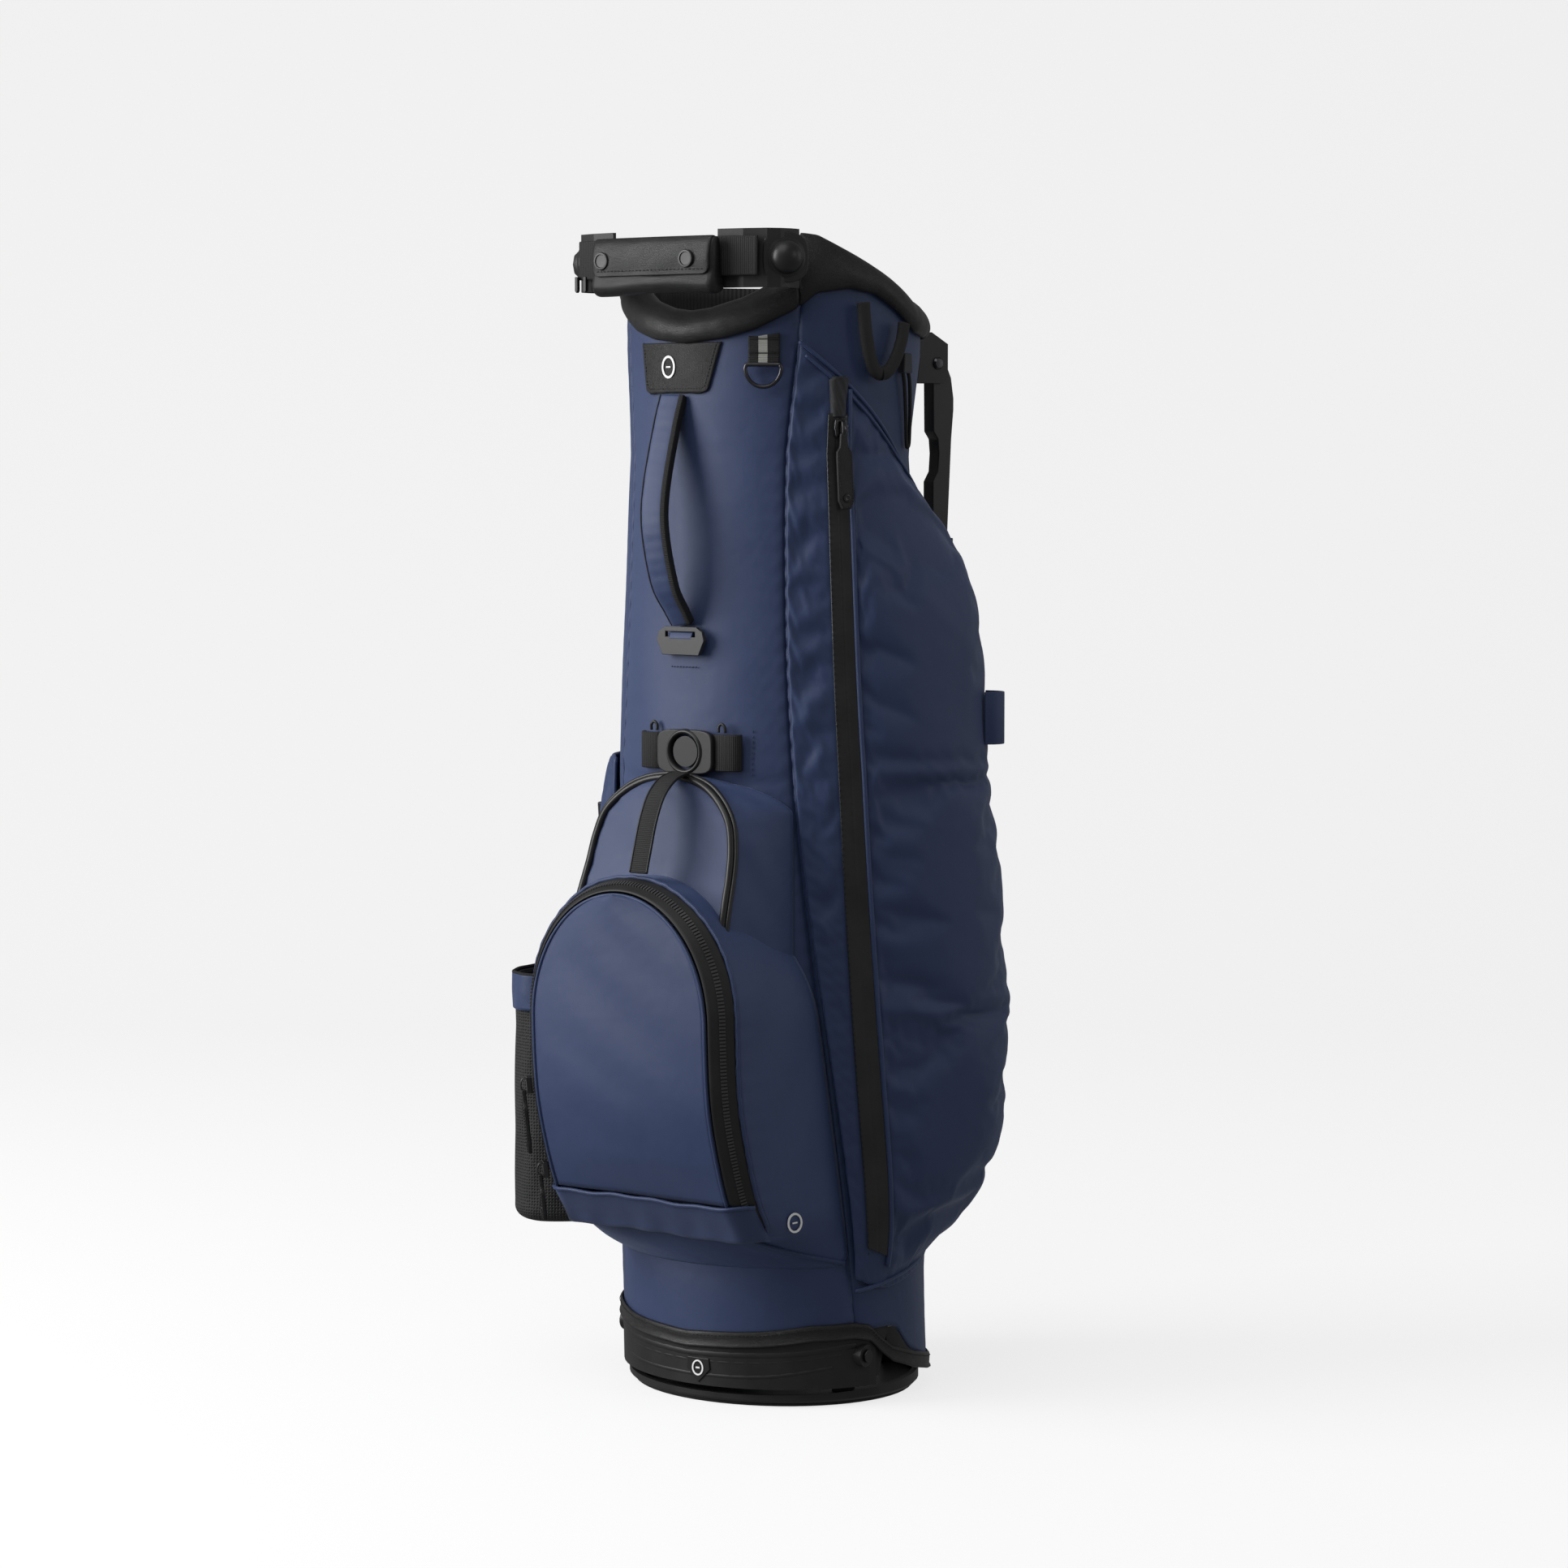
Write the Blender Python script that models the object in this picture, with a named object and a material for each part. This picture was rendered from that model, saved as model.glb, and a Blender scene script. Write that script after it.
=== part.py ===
"""Golf stand bag: a soft oval trunk on a tilting foot, with pockets, a lift handle and a pair of legs.

Metres, +Z up. The origin is the centre of the foot where it stands on the floor. -Y is the front
(spine side, ball pocket), +X the side with the long clothing pocket, +Y the side with the legs.
Angles round the trunk are in degrees from the front (-Y) towards +X.
"""

import math

import bmesh
import bpy
from mathutils import Matrix, Vector

for leftover in list(bpy.data.objects):
    bpy.data.objects.remove(leftover, do_unlink=True)

# ---- Driving dimensions -------------------------------------------------------------------------
GAP = 0.0004  # between pieces that touch
FABRIC = 0.002  # lined and padded bag cloth

BASE_X, BASE_Y = 0.121, 0.110  # half widths of the trunk at the boot
BELLY_X, BELLY_Y = 0.120, 0.1085  # half widths halfway up
WAIST_X, WAIST_Y = 0.110, 0.0995  # half widths at the narrowest
MOUTH_X, MOUTH_Y = 0.1155, 0.105  # half widths under the collar
COLLAR_Z = 0.7985  # lowest edge of the collar, at the front
WAIST_DROP = 0.0825  # waist below the collar
BELLY_DROP = 0.3185  # belly below the collar
TRUNK_LEAN = -0.007  # the upper trunk stands this far forward of the boot
STEP = 6  # degrees between the points of a wall

PIVOT_Y, PIVOT_Z = -0.040, 0.038  # foot hinge, through both sides of the boot
SCREW_R, SCREW_HEAD_R, SCREW_HEAD = 0.003, 0.005, 0.0018
BOSS_R, BOSS_PROUD = 0.0085, 0.0040
SOLE = 0.0027
FOOT_FRONT, FOOT_REAR = 0.009, 0.015  # height of the foot's top at its front and its rear
FOOT_MARGIN_X, FOOT_MARGIN_Y = 0.0045, 0.0055  # foot inside the trunk's half widths
DECK_Z, DECK = 0.080, 0.0035  # floor of the club well
CUP_TOP = 0.100
CUP_WALL = 0.003
TRIM_TALL, TRIM_THICK = 0.012, 0.0025

COLLAR_DEPTH = 0.016  # foam and leather ring, front to inside
HANDLE_Y, HANDLE_Z = -0.106, 0.061  # lift handle hinge; height is above COLLAR_Z
STAND_X, STAND_Y = 0.055, 0.128  # leg pivot
STAND_DROP = -0.0115  # leg pivot above the collar's lowest edge
SPLAY = 15.0  # degrees by which each leg's plane turns outwards
LEG_LENGTH, LEG_R = 0.697, 0.0064
KNUCKLE = 0.012  # width along the axle
ROD_R = 0.0025
ROD_HIGH = (0.012, -0.140)  # rod pivot on the leg, outwards and up from the leg's pivot
ROD_LOW = (0.108, 0.030)  # lower end of the rod, Y and Z

BALL_HALF, BALL_LOW, BALL_HIGH = 0.0815, 0.165, 0.3935  # ball pocket's door
BALL_FRONT = -0.193
BALL_ARCH = 0.095  # height of the arched part of the door
BALL_BAND = 0.015  # zipper band round the door, as width added on each side
BOTTLE_LOW, BOTTLE_HIGH, BOTTLE_WALL = 0.123, 0.3165, 0.0022
COAT_START, COAT_END = 43.5, 150.0  # angles over which the clothing pocket runs
COAT_DEPTH = 0.064

# ---- Finishes -----------------------------------------------------------------------------------
FINISHES = {
    "navy_cloth": ((0.040, 0.056, 0.120), 0.62, 0.0),
    "navy_side_cloth": ((0.018, 0.028, 0.066), 0.64, 0.0),
    "black_leather": ((0.012, 0.012, 0.013), 0.45, 0.0),
    "black_webbing": ((0.010, 0.010, 0.011), 0.80, 0.0),
    "striped_webbing": ((0.090, 0.088, 0.082), 0.80, 0.0),
    "black_plastic": ((0.014, 0.014, 0.015), 0.42, 0.0),
    "black_mesh": ((0.010, 0.010, 0.011), 0.85, 0.0),
    "liner_cloth": ((0.008, 0.008, 0.009), 0.85, 0.0),
    "zipper": ((0.012, 0.012, 0.013), 0.55, 0.0),
    "black_metal": ((0.030, 0.030, 0.032), 0.30, 1.0),
    "leg_alloy": ((0.025, 0.026, 0.028), 0.35, 1.0),
    "rubber": ((0.010, 0.010, 0.010), 0.90, 0.0),
    "cord": ((0.010, 0.010, 0.011), 0.85, 0.0),
}


def finish(name):
    """A Principled material for one of the finishes, made once."""
    if name in bpy.data.materials:
        return bpy.data.materials[name]
    color, roughness, metallic = FINISHES[name]
    material = bpy.data.materials.new(name)
    material.use_nodes = True
    shader = material.node_tree.nodes["Principled BSDF"]
    shader.inputs["Base Color"].default_value = (*color, 1.0)
    shader.inputs["Roughness"].default_value = roughness
    shader.inputs["Metallic"].default_value = metallic
    return material


# ---- The trunk's oval ---------------------------------------------------------------------------
SECTIONS = (  # height, half width along X, half width along Y, centre along Y
    (0.030, BASE_X, BASE_Y, 0.0),
    (0.090, BASE_X, BASE_Y - 0.0002, -0.003),
    (0.300, BASE_X - 0.0005, BASE_Y - 0.001, TRUNK_LEAN + 0.001),
    (COLLAR_Z - BELLY_DROP, BELLY_X, BELLY_Y, TRUNK_LEAN + 0.0005),
    (COLLAR_Z - WAIST_DROP, WAIST_X, WAIST_Y, TRUNK_LEAN),
    (COLLAR_Z - 0.0085, MOUTH_X, MOUTH_Y, -0.002),
)


def between(table, at):
    """The row of a sorted table at a value of its first column, on straight lines between rows."""
    if at <= table[0][0]:
        return table[0][1:]
    for low, high in zip(table, table[1:]):
        if at <= high[0]:
            share = (at - low[0]) / (high[0] - low[0])
            return tuple(a + (b - a) * share for a, b in zip(low[1:], high[1:]))
    return table[-1][1:]


def wall(angle, z, out=0.0):
    """A point on the trunk's outer face, or out from it."""
    half_x, half_y, centre = between(SECTIONS, z)
    turn = math.radians(angle)
    return Vector(((half_x + out) * math.sin(turn), centre - (half_y + out) * math.cos(turn), z))


def front(x, z, out=0.0):
    """A point on the front of the trunk at a given X, or out from it."""
    half_x, half_y, centre = between(SECTIONS, z)
    share = min(1.0, abs(x) / (half_x + out))
    return Vector((x, centre - (half_y + out) * math.sqrt(1.0 - share * share), z))


LEVELS = (  # rows of the trunk's cloth between its edges
    SECTIONS[1][0], (SECTIONS[1][0] + SECTIONS[2][0]) / 2,
    SECTIONS[2][0], (SECTIONS[2][0] + SECTIONS[3][0]) / 2,
    SECTIONS[3][0], (SECTIONS[3][0] + SECTIONS[4][0]) / 2, SECTIONS[4][0],
)


def spread(start, end, step=STEP):
    """Angles from start to end, by way of every whole step between them."""
    first, last = math.floor(start / step) + 1, math.ceil(end / step) - 1
    return [start] + [step * i for i in range(first, last + 1)] + [end]


def steps(start, end, count):
    return [start + (end - start) * i / (count - 1) for i in range(count)]


# ---- Makers -------------------------------------------------------------------------------------
def piece(name, points, faces, coat):
    """A closed mesh object, with its faces pointing out."""
    mesh = bpy.data.meshes.new(name)
    mesh.from_pydata([tuple(p) for p in points], [], faces)
    shape = bmesh.new()
    shape.from_mesh(mesh)
    bmesh.ops.remove_doubles(shape, verts=shape.verts, dist=1e-6)
    bmesh.ops.recalc_face_normals(shape, faces=shape.faces)
    shape.to_mesh(mesh)
    shape.free()
    made = bpy.data.objects.new(name, mesh)
    bpy.context.scene.collection.objects.link(made)
    mesh.materials.append(finish(coat))
    mesh.shade_smooth()
    mesh.set_sharp_from_angle(angle=math.radians(35))
    return made


def loft(name, rings, coat, closed=False):
    """A body through rings of equal counts: capped at both ends, or joined last to first."""
    count = len(rings[0])
    points = [p for ring in rings for p in ring]
    faces = []
    for i in range(len(rings) if closed else len(rings) - 1):
        here, there = i * count, (i + 1) % len(rings) * count
        for j in range(count):
            k = (j + 1) % count
            faces.append((here + j, here + k, there + k, there + j))
    if not closed:
        faces.append(tuple(range(count)))
        faces.append(tuple(range(len(points) - count, len(points))))
    return piece(name, points, faces, coat)


def slab(name, outer, inner, coat, round_trip=False):
    """A sheet of material between two grids of points, rows of equal length, closed at its edges."""
    rows, columns = len(outer), len(outer[0])
    points = [p for row in outer for p in row] + [p for row in inner for p in row]
    back = rows * columns
    faces = []
    last = columns if round_trip else columns - 1
    for j in range(last):
        k = (j + 1) % columns
        for i in range(rows - 1):
            a, b, c, d = i * columns + j, i * columns + k, (i + 1) * columns + k, (i + 1) * columns + j
            faces.append((a, b, c, d))
            faces.append((back + a, back + d, back + c, back + b))
        low, high = (j, k), ((rows - 1) * columns + j, (rows - 1) * columns + k)
        faces.append((low[0], back + low[0], back + low[1], low[1]))
        faces.append((high[1], back + high[1], back + high[0], high[0]))
    if not round_trip:
        for i in range(rows - 1):
            a, b = i * columns, (i + 1) * columns
            faces.append((a, b, back + b, back + a))
            a, b = a + columns - 1, b + columns - 1
            faces.append((a, back + a, back + b, b))
    return piece(name, points, faces, coat)


def wall_sheet(name, angles, low, high, inner, outer, coat, levels=(), round_trip=False):
    """A sheet that follows the trunk's wall between two edges, each a function of the angle.

    It has a row of points at each edge and one at each level between them.
    """

    def grid(out):
        between_edges = [[wall(a, z, out) for a in angles] for z in levels]
        lowest = [wall(a, low(a), out) for a in angles]
        return [lowest, *between_edges, [wall(a, high(a), out) for a in angles]]

    return slab(name, grid(outer), grid(inner), coat, round_trip)


def turned(name, profile, base, along, coat, sides=16):
    """A round piece: (radius, distance along its axis) pairs, from the axis back to the axis."""
    axis = Vector(along).normalized()
    across = axis.orthogonal().normalized()
    up = axis.cross(across)
    points, rings = [], []
    for radius, height in profile:
        start = len(points)
        number = sides if radius > 1e-6 else 1
        for j in range(number):
            turn = 2 * math.pi * j / sides
            offset = (across * math.cos(turn) + up * math.sin(turn)) * (radius if number > 1 else 0)
            points.append(Vector(base) + axis * height + offset)
        rings.append((start, number))
    faces = []
    for (a, m), (b, n) in zip(rings, rings[1:]):
        for j in range(sides):
            k = (j + 1) % sides
            if m > 1 and n > 1:
                faces.append((a + j, a + k, b + k, b + j))
            elif n > 1:
                faces.append((a, b + k, b + j))
            elif m > 1:
                faces.append((a + j, a + k, b))
    return piece(name, points, faces, coat)


def bar(name, path, across, width, thick, coat):
    """A flat strap or bar along a path, its width along a given direction."""
    rings = []
    for i, point in enumerate(path):
        ahead = path[min(i + 1, len(path) - 1)] - path[max(i - 1, 0)]
        side = Vector(across).normalized()
        normal = ahead.cross(side).normalized()
        w, t = side * width / 2, normal * thick / 2
        rings.append([point - w - t, point + w - t, point + w + t, point - w + t])
    return loft(name, rings, coat)


def prism(name, outline, place, thick, coat):
    """A flat plate: an outline in a frame's XY, pushed along its Z."""
    lower = [place @ Vector((u, v, 0.0)) for u, v in outline]
    upper = [place @ Vector((u, v, thick)) for u, v in outline]
    return loft(name, [lower, upper], coat)


def box(name, low, high, coat, edge=0.0):
    """A block between two corners, its edges rounded."""
    low, high = Vector(low), Vector(high)
    shape = bmesh.new()
    bmesh.ops.create_cube(shape, size=1.0)
    mesh = bpy.data.meshes.new(name)
    bmesh.ops.scale(shape, vec=high - low, verts=shape.verts)
    if edge:
        bmesh.ops.bevel(shape, geom=shape.edges[:], offset=edge, segments=1, affect="EDGES")
    shape.to_mesh(mesh)
    shape.free()
    mesh.materials.append(finish(coat))
    made = bpy.data.objects.new(name, mesh)
    made.location = (low + high) / 2
    bpy.context.scene.collection.objects.link(made)
    return made


def rope(name, points, radius, coat, loop=False, fineness=1):
    """A round bar or cord along points, as a curve with a bevel."""
    curve = bpy.data.curves.new(name, "CURVE")
    curve.dimensions = "3D"
    curve.bevel_depth = radius
    curve.bevel_resolution = fineness
    curve.use_fill_caps = not loop
    line = curve.splines.new("POLY")
    line.points.add(len(points) - 1)
    for knot, point in zip(line.points, points):
        knot.co = (*point, 1.0)
    line.use_cyclic_u = loop
    curve.materials.append(finish(coat))
    made = bpy.data.objects.new(name, curve)
    bpy.context.scene.collection.objects.link(made)
    return made


def smooth_path(points, number):
    """Points at even shares of a smooth curve through a few chosen ones."""
    knots = [points[0], *points, points[-1]]
    path = []
    for i in range(number):
        share = i / (number - 1) * (len(points) - 1)
        at = min(int(share), len(points) - 2)
        t = share - at
        a, b, c, d = knots[at : at + 4]
        path.append(
            0.5
            * ((2 * b) + (c - a) * t + (2 * a - 5 * b + 4 * c - d) * t * t + (3 * b - a - 3 * c + d) * t**3)
        )
    return path


def boolean(target, tool, operation):
    """Cut a hidden tool from a piece, or add it to the piece."""
    tool.hide_render = True
    tool.display_type = "WIRE"
    change = target.modifiers.new(tool.name, "BOOLEAN")
    change.operation = operation
    change.solver = "EXACT"
    change.object = tool
    return target


def joint(name, pieces, at):
    """An empty on a moving piece's joint, with the pieces that turn or slide with it."""
    pivot = bpy.data.objects.new(name, None)
    pivot.location = at
    bpy.context.scene.collection.objects.link(pivot)
    for moving in pieces:
        moving.parent = pivot
        moving.matrix_parent_inverse = Matrix.Translation(at).inverted()
    return pivot


# ---- Boot and foot ------------------------------------------------------------------------------
TRIM_EDGE = (  # angle from the front, height of the trim's upper edge
    (0, 0.056), (30, 0.059), (48, 0.0636), (65, 0.064), (72, 0.061), (77, 0.0515),
    (83, 0.0425), (97, 0.0336), (112, 0.027), (127, 0.022), (142, 0.020),
)
NOTCH = 142.0  # the boot is open behind this angle, where the rods come down


def trim_top(angle):
    return between(TRIM_EDGE, abs(angle))[0]


def cup_low(angle):
    """Lower edge of the boot's cup: low in front, higher where the foot tilts up into it."""
    return between(((78, 0.020), (84, 0.058), (NOTCH, 0.058), (NOTCH + 6, DECK_Z)), abs(angle))[0]


def turn_of(angle):
    """An angle of a full turn as one from -180 to 180."""
    return angle - 360 if angle > 180 else angle


def boot():
    """Moulded cup, club-well floor, front shell with the hinge bosses, and the sewn trim round it."""
    around = [STEP * i for i in range(360 // STEP)]
    shell_back = -0.0030
    cup_face = shell_back - GAP
    cup = wall_sheet(
        "boot_cup", around, lambda a: cup_low(turn_of(a)), lambda a: CUP_TOP,
        cup_face - CUP_WALL, cup_face, "black_plastic", round_trip=True,
    )
    floor_out = cup_face - CUP_WALL - 2 * GAP
    loft(
        "well_floor",
        [[wall(a, z, floor_out) for a in around] for z in (DECK_Z, DECK_Z + DECK)],
        "black_plastic",
    )
    trim = lambda a: trim_top(a) - TRIM_TALL
    shell = wall_sheet(
        "front_shell", spread(-75, 75), lambda a: 0.0145, lambda a: trim(a) - GAP,
        shell_back, 0.0006, "black_plastic",
    )
    wall_sheet(
        "boot_trim", spread(-NOTCH, NOTCH), trim, trim_top,
        GAP, GAP + TRIM_THICK, "black_leather",
    )
    for side, word in ((1, "right"), (-1, "left")):
        face = BASE_X * math.sqrt(1 - (PIVOT_Y / BASE_Y) ** 2)
        along = (side, 0, 0)
        start = face - 0.0095
        end = face + BOSS_PROUD
        inner = Vector((side * start, PIVOT_Y, PIVOT_Z))
        boss = turned(
            f"boss_{word}", [(0, 0), (BOSS_R, 0), (BOSS_R, end - start), (0, end - start)],
            inner, along, "black_plastic", 20,
        )
        room = turned(
            f"boss_room_{word}", [(0, -0.01), (BOSS_R + GAP, -0.01), (BOSS_R + GAP, 0.03), (0, 0.03)],
            inner, along, "black_plastic", 20,
        )
        bore = turned(
            f"bore_{word}", [(0, -0.03), (SCREW_R + GAP, -0.03), (SCREW_R + GAP, 0.03), (0, 0.03)],
            inner, along, "black_plastic", 16,
        )
        boolean(shell, boss, "UNION")
        boolean(shell, bore, "DIFFERENCE")
        boolean(cup, room, "DIFFERENCE")
        reach = end + GAP - EAR_X + 0.002
        turned(
            f"pivot_screw_{word}",
            [(0, 0), (SCREW_R, 0), (SCREW_R, reach), (SCREW_HEAD_R, reach),
             (SCREW_HEAD_R, reach + SCREW_HEAD), (0, reach + SCREW_HEAD)],
            Vector((side * (EAR_X - 0.002), PIVOT_Y, PIVOT_Z)), along, "black_metal", 16,
        )


EAR_X, EAR = 0.0920, 0.0055  # inner face and thickness of the foot's hinge ears


def foot_top(y):
    """Height of the foot's sloping top."""
    half = BASE_Y - FOOT_MARGIN_Y
    return (FOOT_FRONT + FOOT_REAR) / 2 + (FOOT_REAR - FOOT_FRONT) / 2 * y / half


def foot():
    """The tilting foot: its plate with two hinge ears and the rods' lugs, and its rubber sole."""
    half_x, half_y, centre = BASE_X - FOOT_MARGIN_X, BASE_Y - FOOT_MARGIN_Y, -0.002
    around = [STEP * i for i in range(360 // STEP)]

    def oval(inset, z=None):
        ring = []
        for angle in around:
            turn = math.radians(angle)
            x, y = (half_x - inset) * math.sin(turn), centre - (half_y - inset) * math.cos(turn)
            ring.append(Vector((x, y, foot_top(y) if z is None else z)))
        return ring

    bottom = SOLE + GAP
    plate = loft("foot_plate", [oval(0.002, bottom), oval(0, bottom + 0.002), oval(0)], "black_plastic")
    tray = loft("foot_tray", [oval(0.0045, bottom + 0.003), oval(0.0035, 0.05)], "black_plastic")
    boolean(plate, tray, "DIFFERENCE")
    loft("foot_sole", [oval(0.005, 0.0), oval(0.004, 0.001), oval(0.004, SOLE)], "rubber")
    for side, word in ((1, "right"), (-1, "left")):
        base = bottom + 0.001
        outline = [(-0.0115, base - PIVOT_Z), (0.0115, base - PIVOT_Z)]
        outline += [
            (0.008 * math.cos(math.radians(a)), 0.008 * math.sin(math.radians(a)))
            for a in range(0, 181, 20)
        ]
        start = EAR_X if side > 0 else -EAR_X - EAR
        place = Matrix.Translation((start, PIVOT_Y, PIVOT_Z)) @ Matrix(
            ((0, 0, 1, 0), (1, 0, 0, 0), (0, 1, 0, 0), (0, 0, 0, 1))
        )
        ear = prism(f"ear_{word}", outline, place, EAR, "black_plastic")
        eye = turned(
            f"eye_{word}", [(0, 0), (SCREW_R + GAP, 0), (SCREW_R + GAP, 0.02), (0, 0.02)],
            (side * (EAR_X - 0.005), PIVOT_Y, PIVOT_Z), (side, 0, 0), "black_plastic", 16,
        )
        lug_x = rod_foot(side).x - side * (ROD_R + 0.0045)
        lug = box(
            f"lug_{word}", (lug_x - 0.003, 0.070, bottom + 0.001),
            (lug_x + 0.003, ROD_LOW[0] + 0.005, ROD_LOW[1] + 0.004), "black_plastic",
        )
        boolean(plate, ear, "UNION")
        boolean(plate, eye, "DIFFERENCE")
        boolean(plate, lug, "UNION")
    joint("foot_tilt", [plate, bpy.data.objects["foot_sole"]], (0, PIVOT_Y, PIVOT_Z))


# ---- Stand --------------------------------------------------------------------------------------
def stand_frame(side):
    """Leg pivot and its directions: along the axle towards +X, outwards, and up."""
    turn = math.radians(SPLAY) * side
    pivot = Vector((side * STAND_X, STAND_Y, COLLAR_Z + STAND_DROP))
    axle = Vector((math.cos(turn), -math.sin(turn), 0))
    outwards = Vector((math.sin(turn), math.cos(turn), 0))
    return pivot, axle, outwards


def rod_offset(side):
    """Distance of the rod's middle from the leg's middle, along the axle, away from the bag's middle."""
    return side * (KNUCKLE / 2 + ROD_R + 2 * GAP + 0.001)


def rod_foot(side):
    """Lower end of a rod, in the plane that the rod swings in."""
    pivot, axle, outwards = stand_frame(side)
    beside = pivot + axle * rod_offset(side)
    reach = (ROD_LOW[0] - beside.y) / outwards.y
    return Vector((*(beside + outwards * reach).xy, ROD_LOW[1]))


KNUCKLE_EDGE = (  # outwards and up from the leg's pivot
    (-0.0065, 0.003), (-0.0035, 0.0085), (0.004, 0.010), (0.0127, -0.002), (0.017, -0.011),
    (0.0196, -0.027), (0.0196, -0.036), (0.0175, -0.058), (0.016, -0.082), (0.0145, -0.110),
    (0.0135, -0.135), (-0.0015, -0.135), (-0.0015, -0.092), (0.0035, -0.084), (0.0045, -0.070),
    (0.0035, -0.059), (-0.001, -0.053), (-0.0015, -0.014), (-0.0065, -0.004),
)
CHEEK_EDGE = (  # the bracket's side plates, from the same pivot
    (-0.036, 0.0125), (-0.0185, 0.0125), (-0.0185, 0.0235), (-0.006, 0.024), (0.0105, 0.015),
    (0.0105, -0.010), (0.0065, -0.0155), (-0.036, -0.0155),
)


def stand():
    """Bracket, axles, legs and push rods."""
    pivot_z = COLLAR_Z + STAND_DROP
    bracket = wall_sheet(
        "stand_bracket", spread(138, 222), lambda a: pivot_z - 0.0140, lambda a: pivot_z + 0.0095,
        2 * GAP, 0.0045, "black_plastic", levels=(SECTIONS[-1][0],),
    )
    for side, word in ((1, "right"), (-1, "left")):
        pivot, axle, outwards = stand_frame(side)
        up = Vector((0, 0, 1))
        place = Matrix.Translation(pivot) @ Matrix((outwards, up, axle)).transposed().to_4x4()
        half = KNUCKLE / 2
        for where, start in (("outer", half + 0.0006), ("inner", -half - 0.0006 - 0.003)):
            cheek = prism(
                f"cheek_{where}_{word}", CHEEK_EDGE, place @ Matrix.Translation((0, 0, start)), 0.003,
                "black_plastic",
            )
            clear = wall_sheet(
                f"trunk_room_{where}_{word}", spread(120, 240), lambda a: pivot_z - 0.03,
                lambda a: pivot_z + 0.03, -0.05, 0.0025, "black_plastic", levels=(SECTIONS[-1][0],),
            )
            boolean(cheek, clear, "DIFFERENCE")
            cheek.hide_render = True
            boolean(bracket, cheek, "UNION")
        eye = turned(
            f"axle_room_{word}", [(0, -0.03), (0.003 + GAP, -0.03), (0.003 + GAP, 0.03), (0, 0.03)],
            pivot, axle, "black_plastic", 12,
        )
        boolean(bracket, eye, "DIFFERENCE")
        reach = half + 0.0036
        turned(
            f"stand_axle_{word}",
            [(0, -reach - 0.0025), (0.0035, -reach - 0.0022), (0.0048, -reach - GAP), (0.003, -reach - GAP),
             (0.003, reach + GAP), (0.0048, reach + GAP), (0.0035, reach + 0.0022), (0, reach + 0.0025)],
            pivot, axle, "black_metal", 12,
        )
        knuckle = prism(
            f"leg_knuckle_{word}", KNUCKLE_EDGE, place @ Matrix.Translation((0, 0, -half)), KNUCKLE,
            "black_plastic",
        )
        boolean(knuckle, eye, "DIFFERENCE")
        top = pivot + outwards * 0.006 - up * (0.135 + GAP)
        tip = Vector((side * 0.0445, 0.1185, pivot_z - LEG_LENGTH))
        down = (tip - top).normalized()
        long = (tip - top).length
        tube = turned(
            f"leg_tube_{word}", [(0, 0), (LEG_R, 0), (LEG_R, long - 0.030), (0, long - 0.030)],
            top, down, "leg_alloy", 12,
        )
        start = top + down * (long - 0.030 + GAP)
        shoe = turned(
            f"leg_shoe_{word}",
            [(0, 0), (0.0078, 0), (0.0085, 0.004), (0.0085, 0.020), (0.0060, 0.029 - GAP),
             (0, 0.030 - GAP)],
            start, down, "rubber", 12,
        )
        high = pivot + axle * rod_offset(side) + outwards * ROD_HIGH[0] + up * ROD_HIGH[1]
        low = rod_foot(side)
        slope = (low - high).normalized()
        rod = turned(
            f"push_rod_{word}",
            [(0, -0.004), (ROD_R, -0.004), (ROD_R, (low - high).length), (0, (low - high).length)],
            high, slope, "black_metal", 8,
        )
        joint(f"leg_swing_{word}", [knuckle, tube, shoe], pivot)
        joint(f"rod_swing_{word}", [rod], high)


# ---- Trunk --------------------------------------------------------------------------------------
COLLAR_LOW = (  # angle from the front, height above COLLAR_Z of the collar's lower edge
    (0, 0.0), (16, 0.0035), (28, 0.010), (44, 0.0255), (51, 0.0365), (64, 0.040), (75, 0.0365),
    (89, 0.0235), (102, 0.0091), (112, 0.006), (180, 0.004),
)
COLLAR_HIGH = (  # and of its upper edge; it steps up at the seams in front of the cheeks
    (0, 0.0225), (9, 0.0245), (22, 0.0315), (32, 0.0405), (43.8, 0.056), (44.2, 0.0795), (52, 0.0775),
    (69, 0.0625), (86, 0.0475), (102, 0.0325), (118, 0.027), (180, 0.030),
)
SEAM = 44.0  # between the front lip and the cheeks
REAR_SEAM = 118.0


def collar_low(angle):
    return COLLAR_Z + between(COLLAR_LOW, abs(angle))[0]


def collar_high(angle):
    return COLLAR_Z + between(COLLAR_HIGH, abs(angle))[0]


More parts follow.
